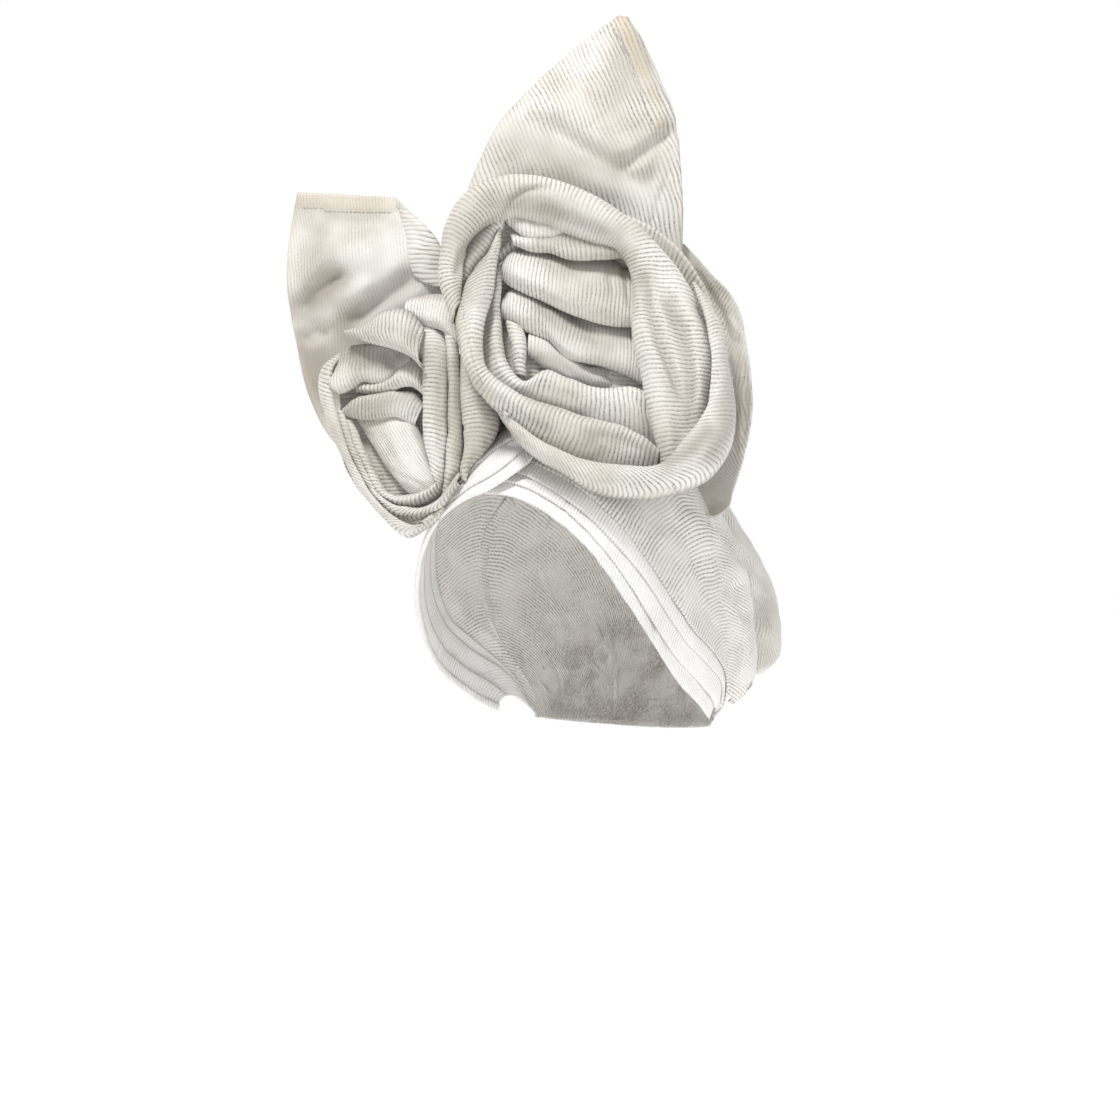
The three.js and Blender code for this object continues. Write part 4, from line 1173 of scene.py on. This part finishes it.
leafFolds["left_leaf"] = {"section": "leaf", "rows": [
    (-149.5, 118, 0, -97, 113.5, 10, 2),
    (-153.5, 97, -2, -79, 95.5, 16, 4),
    (-155.5, 79, -4, -71, 78, 19, 5),
    (-154, 59, -6, -67, 58.5, 18, 5),
    (-150.5, 35.5, -8, -64, 35, 12, 4),
    (-144, 9.5, -9, -60, 9, 4, 2),
    (-132, -13, -9, -56, -16, 0, 2),
    (-108, -34, -8, -54, -36, -4, 2),
], "ribs": straightRibs(1, 0.1), "pitch": 1.7, "plain": 0.72, "creases": [
    ([(298, 316), (312, 292), (330, 276), (348, 266)], 6, 9),
    ([(426, 266), (396, 288), (366, 308), (338, 330)], 6.5, 11),
    ([(300, 345), (316, 330), (332, 338)], 4, 9),
    ([(315, 240), (350, 254), (390, 250)], -5, 22),
    ([(326, 300), (350, 296), (376, 280)], -3, 10),
    ([(312, 215), (345, 222), (392, 220)], 0.8, 6),
], "paintedShades": [
    ([(302, 308), (316, 296), (336, 284)], 1.0, 17),
    ([(418, 274), (390, 296), (350, 322)], 0.65, 15),
    ([(300, 340), (314, 360), (326, 390)], 0.65, 18),
], "hems": [
    ([(298, 200), (340, 201), (392, 203)], 8),
    ([(294, 210), (288, 260), (293, 310), (306, 370), (322, 410)], 3.5),
]}
leafFolds["left_leaf_flap"] = {"section": "leaf", "rows": [
    (-96.5, 110, 13, -94, 108.5, 14, 1),
    (-93, 96.5, 14, -79.5, 96.5, 20, 2),
    (-91, 84, 16, -72, 85, 23, 3),
    (-88, 73.5, 17, -70.5, 73.5, 23, 2),
    (-82, 68, 19, -70, 64, 23, 1),
], "ribs": straightRibs(0.12, 1), "creases": [([(404, 215), (424, 245), (438, 275)], 1.2, 5)]}
leafFolds["between_fold"] = {"section": "leaf", "rows": [
    (-68, 30, 24, -26, 34, 26, -2),
    (-66, 5, 26, -22, 5, 28, -2),
    (-62, -20, 26, -16, -20, 28, -2),
    (-54, -42, 24, -8, -44, 26, -2),
]}
leafFolds["rear_petal"] = {"section": "leaf", "rows": [
    (30, 96, -2, 55, 90, 4, 1),
    (2, 82, -8, 64.5, 79, 10, -4),
    (-16, 62, -12, 81, 58, 16, -8),
    (-26, 36, -14, 86.5, 36, 20, -12),
    (-32, 8, -14, 89.5, 8, 22, -12),
    (-28, -14, -12, 87.5, -14, 21, -10),
    (-14, -34, -8, 82, -34, 20, -8),
    (8, -45, 2, 79.5, -42, 18.5, -4),
    (34, -49, 8, 77.5, -49, 19, -2),
    (50, -51.5, 14, 71, -53.5, 20, -1),
    (60, -52, 20, 66, -52.5, 22.5, 0),
], "ribs": "along", "creases": [
    ([(690, 262), (706, 290), (722, 318), (730, 345)], 3.5, 5),
    ([(728, 345), (733, 400), (735, 455)], 3, 3.5),
    ([(744, 350), (747, 400), (744, 450)], 1.5, 3),
], "paintedShades": [([(728, 462), (718, 500)], 0.3, 16)], "hems": [
    ([(727, 321), (737, 335)], 6),
    ([(741, 348), (744, 400), (741, 452)], 2.2),
], "plain": 0.3}

# painted shade darkens each rose fold towards its root
roseSheet = {"seed": 20, "rootShade": 0.8, "wrinkles": 7}
leafSheet = {"seed": 70, "wrinkles": 5}
# folds that stand for no solid
ownFolds = ("deep_fold", "between_fold")
cups = {
    "large_rose_cup": {
        "rim": {"x": 5, "z": 30, "out": 52, "halfX": 66, "halfZ": 75, "slopeX": 0, "slopeZ": -0.27},
        "hollow": (228, 40, 0.33),
        "gather": {"x": 2, "z": 4, "out": 24, "halfX": 25, "halfZ": 15, "slopeX": 0, "slopeZ": -0.1},
        "gathers": 9,
        "ripple": 0.05,
    },
    "small_rose_cup": {
        "rim": {"x": -90, "z": -7, "out": 29, "halfX": 37, "halfZ": 47, "slopeX": 0.45, "slopeZ": -0.15},
        "hollow": None,
        "gather": {"x": -58, "z": -22, "out": 8, "halfX": 19, "halfZ": 17, "slopeX": 0.3, "slopeZ": 0},
        "gathers": 7,
        "ripple": 0.05,
    },
}
cupShape = {"belly": 5, "folds": 26, "behind": -20.0}
cupSheet = {"held": "gathered", "seed": 60, "roughen": 0.8, "wrinkles": 14, "hemRim": 0.0, "closed": True}


def makeFolds(folds, place, prefix, usual):
    front = flowerFront(place)
    for number, (name, fold) in enumerate(folds.items()):
        node = name if name == "bridge_fold" else prefix + name
        sheet = {**usual, **fold, "seed": usual["seed"] + number}
        surface = foldSurface(place, sheet.pop("section"), sheet.pop("rows"))
        replaced = None if name in ownFolds else node
        clothPiece(f"{node}_cloth", surface, lambda points: front, replaced, **sheet)


def cupSurface(cup):
    def ring(place, x, z):
        return inFlower(place, place["halfX"] * x, place["halfZ"] * z, 0)

    def surface(t, s):
        a = 2 * math.pi * t
        wave = cup["ripple"] * np.cos(cup["gathers"] * a)
        reach = np.ones(a.shape)
        if cup["hollow"]:
            centre, spread, amount = cup["hollow"]
            reach -= amount * np.exp(-((np.degrees(a) - centre) / spread) ** 2)
        rim = ring(cup["rim"], reach * np.cos(a), reach * np.sin(a))
        gather = ring(cup["gather"], (1 + wave) * np.cos(a), (1 + wave) * np.sin(a))
        points = rim[:, None] + (gather - rim)[:, None] * s[None, :, None]
        belly = np.sin(math.pi * s) * cupShape["belly"]
        side = turned(np.cos(a), 0 * a, np.sin(a))
        folds = cupShape["folds"] * wave[:, None] * smooth(s)[None] * (1 - s)[None]
        return points + side[:, None] * (belly[None] + folds)[..., None]

    return surface


def makeCups():
    for name, cup in cups.items():
        centre = inFlower(cup["rim"], 0.0, 0.0, cupShape["behind"])
        clothPiece(f"{name}_cloth", cupSurface(cup), lambda points: points - centre, name, **cupSheet)


makePleats()
makeCrown()
makeHeadFolds()
print("wrap done")
makeFolds(largeFolds, largeRose, "large_rose_", roseSheet)
makeFolds(smallFolds, smallRose, "small_rose_", roseSheet)
makeCups()
makeFolds(leafFolds, leafPlace, "", leafSheet)
print("flowers done")


# Stitches along the hems, frayed edges and a loose thread

threads = {
    "stitchLength": 1.5,
    "stitchStep": 4.2,
    "stitchThickness": 0.22,
    "stitchRise": 0.12,
    "stitchWander": 0.12,
    "frayThickness": 0.1,
    "frayStep": 3.4,
    "frayLength": (0.5, 2.2),
    "frayRise": 0.1,
    "frayLean": 0.3,
    "frayWander": 0.35,
    "looseThickness": 0.16,
    "looseStep": 1.5,
    "looseRise": (0.3, 1.4),
    "sides": 6,
}
stitchPaths = {
    "tall_leaf": [(615, 30), (626, 52), (638, 84), (646, 108), (651, 124)],
    "left_leaf": [(304, 209), (330, 210), (360, 211), (392, 213)],
    "large_rose_hem_petal": [(464, 276), (461, 300), (467, 334), (473, 360), (483, 386)],
}
# path, and the way the threads point: right and down over the picture
frayPaths = {
    "small_rose_top_flap": ([(350, 337), (372, 343), (396, 350), (414, 362)], (0.2, 1.0)),
    "left_leaf_flap": ([(413, 273), (423, 281), (441, 288)], (-0.3, 1.0)),
    "rear_petal": ([(726, 318), (738, 334), (742, 342)], (0.6, 0.4)),
}
looseThreads = {
    "large_rose_bottom_roll": [(672, 483), (675, 490), (682, 495), (689, 494), (690, 489), (684, 487)],
}


def onSurface(piece, path, step):
    # the surface points and normals seen at each step along a path over the picture
    points, normals = surfaces[f"{piece}_cloth"]
    column, row = inPicture(points)
    path = np.array(path, float)
    length = lengthsAlong(path)
    places = np.arange(0, length[-1], step)
    seen = zip(np.interp(places, length, path[:, 0]), np.interp(places, length, path[:, 1]))
    nearest = [np.argmin((column - across) ** 2 + (row - down) ** 2) for across, down in seen]
    return points.reshape(-1, 3)[nearest], normals.reshape(-1, 3)[nearest]


def threadSet(name, starts, ends, thickness):
    # one modelled strand, copied between each pair of points and joined
    bpy.ops.mesh.primitive_cylinder_add(vertices=threads["sides"], radius=1, depth=1)
    model = bpy.context.active_object
    model.data.materials.append(materials["cloth"])
    copies = []
    for start, end in zip(starts, ends):
        strand = model.copy()
        strand.data = model.data.copy()
        bpy.context.collection.objects.link(strand)
        way = Vector(end - start)
        strand.location = Vector((start + end) / 2) * mm
        strand.rotation_mode = "QUATERNION"
        strand.rotation_quaternion = way.to_track_quat("Z", "Y")
        strand.scale = (thickness * mm, thickness * mm, way.length * mm)
        copies.append(strand)
    bpy.data.objects.remove(model)
    bpy.ops.object.select_all(action="DESELECT")
    for strand in copies:
        strand.select_set(True)
    bpy.context.view_layer.objects.active = copies[0]
    bpy.ops.object.transform_apply(location=True, rotation=True, scale=True)
    bpy.ops.object.join()
    joined = bpy.context.active_object
    bpy.ops.object.shade_smooth()
    joined.name = name
    joined.data.name = name
    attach(joined, "root")
    joined.select_set(False)


def makeThreads():
    random = np.random.default_rng(7)
    for piece, path in stitchPaths.items():
        points, normals = onSurface(piece, path, threads["stitchStep"])
        ways = unit(np.gradient(points, axis=0))
        ways += random.normal(0, threads["stitchWander"], ways.shape)
        centres = points + normals * threads["stitchRise"]
        half = threads["stitchLength"] / 2
        threadSet(f"{piece}_stitches", centres - ways * half, centres + ways * half,
                  threads["stitchThickness"])
    for piece, (path, (right, down)) in frayPaths.items():
        points, normals = onSurface(piece, path, threads["frayStep"])
        outward = turned(right, 0.0, -down) + normals * threads["frayLean"]
        ways = unit(outward + random.normal(0, threads["frayWander"], points.shape))
        lengths = random.uniform(*threads["frayLength"], len(points))[:, None]
        starts = points + normals * threads["frayRise"]
        threadSet(f"{piece}_frays", starts, starts + ways * lengths, threads["frayThickness"])
    for piece, path in looseThreads.items():
        points, normals = onSurface(piece, path, threads["looseStep"])
        raised = points + normals * np.linspace(*threads["looseRise"], len(points))[:, None]
        threadSet(f"{piece}_loose_thread", raised[:-1], raised[1:], threads["looseThickness"])


makeThreads()
print("threads done")


# Stage: a pale floor, soft light and the camera

# lights: turn and rise in degrees, distance and size in metres, power
stage = {
    "floorZ": -0.42,
    "floorSize": 30,
    "floorColour": (0.9, 0.9, 0.9),
    "floorRoughness": 0.9,
    "floorGlow": 0.5,
    "worldColour": (1.0, 1.0, 1.0),
    "worldBright": 1.0,
    "worldDim": 0.42,
    "worldBlend": (-0.1, 0.6),
    "lights": {"key": (0, 58, 1.5, 0.4, 20), "fill": (80, 12, 2.0, 1.0, 8)},
    "lightTarget": (0.0, 0.0, 0.02),
    "sensor": 36,
}


def makeLight(name, turn, rise, distance, size, power):
    a, e = math.radians(turn), math.radians(rise)
    way = np.array([math.sin(a) * math.cos(e), -math.cos(a) * math.cos(e), math.sin(e)])
    place = np.array(stage["lightTarget"]) + way * distance
    bpy.ops.object.light_add(type="AREA", location=tuple(place))
    light = bpy.context.active_object
    light.name = name
    light.data.shape = "DISK"
    light.data.size = size
    light.data.energy = power
    light.rotation_mode = "QUATERNION"
    light.rotation_quaternion = Vector(way).to_track_quat("Z", "Y")


def makeFloor():
    bpy.ops.mesh.primitive_plane_add(size=stage["floorSize"], location=(0, 0, stage["floorZ"]))
    floor = bpy.context.active_object
    floor.name = "floor"
    paint = Graph(bpy.data.materials.new("pale_floor"), "Principled BSDF")
    paint.set("Base Color", stage["floorColour"])
    paint.set("Roughness", stage["floorRoughness"])
    paint.set("Emission Color", stage["floorColour"])
    paint.set("Emission Strength", stage["floorGlow"])
    floor.data.materials.append(paint.owner)


def makeSky():
    # brighter behind the head tie than in front of it
    sky = Graph(bpy.data.worlds.new("studio"), "Background")
    way = sky.node("TexCoord")
    behind = sky.node("VectorMath", {"operation": "DOT_PRODUCT"}, {0: way, 1: tuple(-nearWay)},
                      output=1)
    blend = sky.ramp(behind, *stage["worldBlend"])
    sky.set("Color", stage["worldColour"])
    sky.set("Strength", stage["worldDim"] + blend * (stage["worldBright"] - stage["worldDim"]))
    bpy.context.scene.world = sky.owner


def makeCamera():
    distance = picture["distance"] * mm
    frameWidth = 2 * picture["middle"] * picture["scale"] * mm
    target = turned(picture["side"], 0.0, picture["up"]) * mm
    bpy.ops.object.camera_add(location=tuple(target + nearWay * distance))
    camera = bpy.context.active_object
    camera.rotation_euler = (math.radians(90), 0, math.radians(picture["turn"]))
    camera.data.sensor_width = stage["sensor"]
    camera.data.lens = stage["sensor"] * distance / frameWidth
    bpy.context.scene.camera = camera


makeFloor()
makeSky()
for name, values in stage["lights"].items():
    makeLight(name, *values)
makeCamera()
bpy.context.scene.view_settings.view_transform = "Standard"
print("stage done")
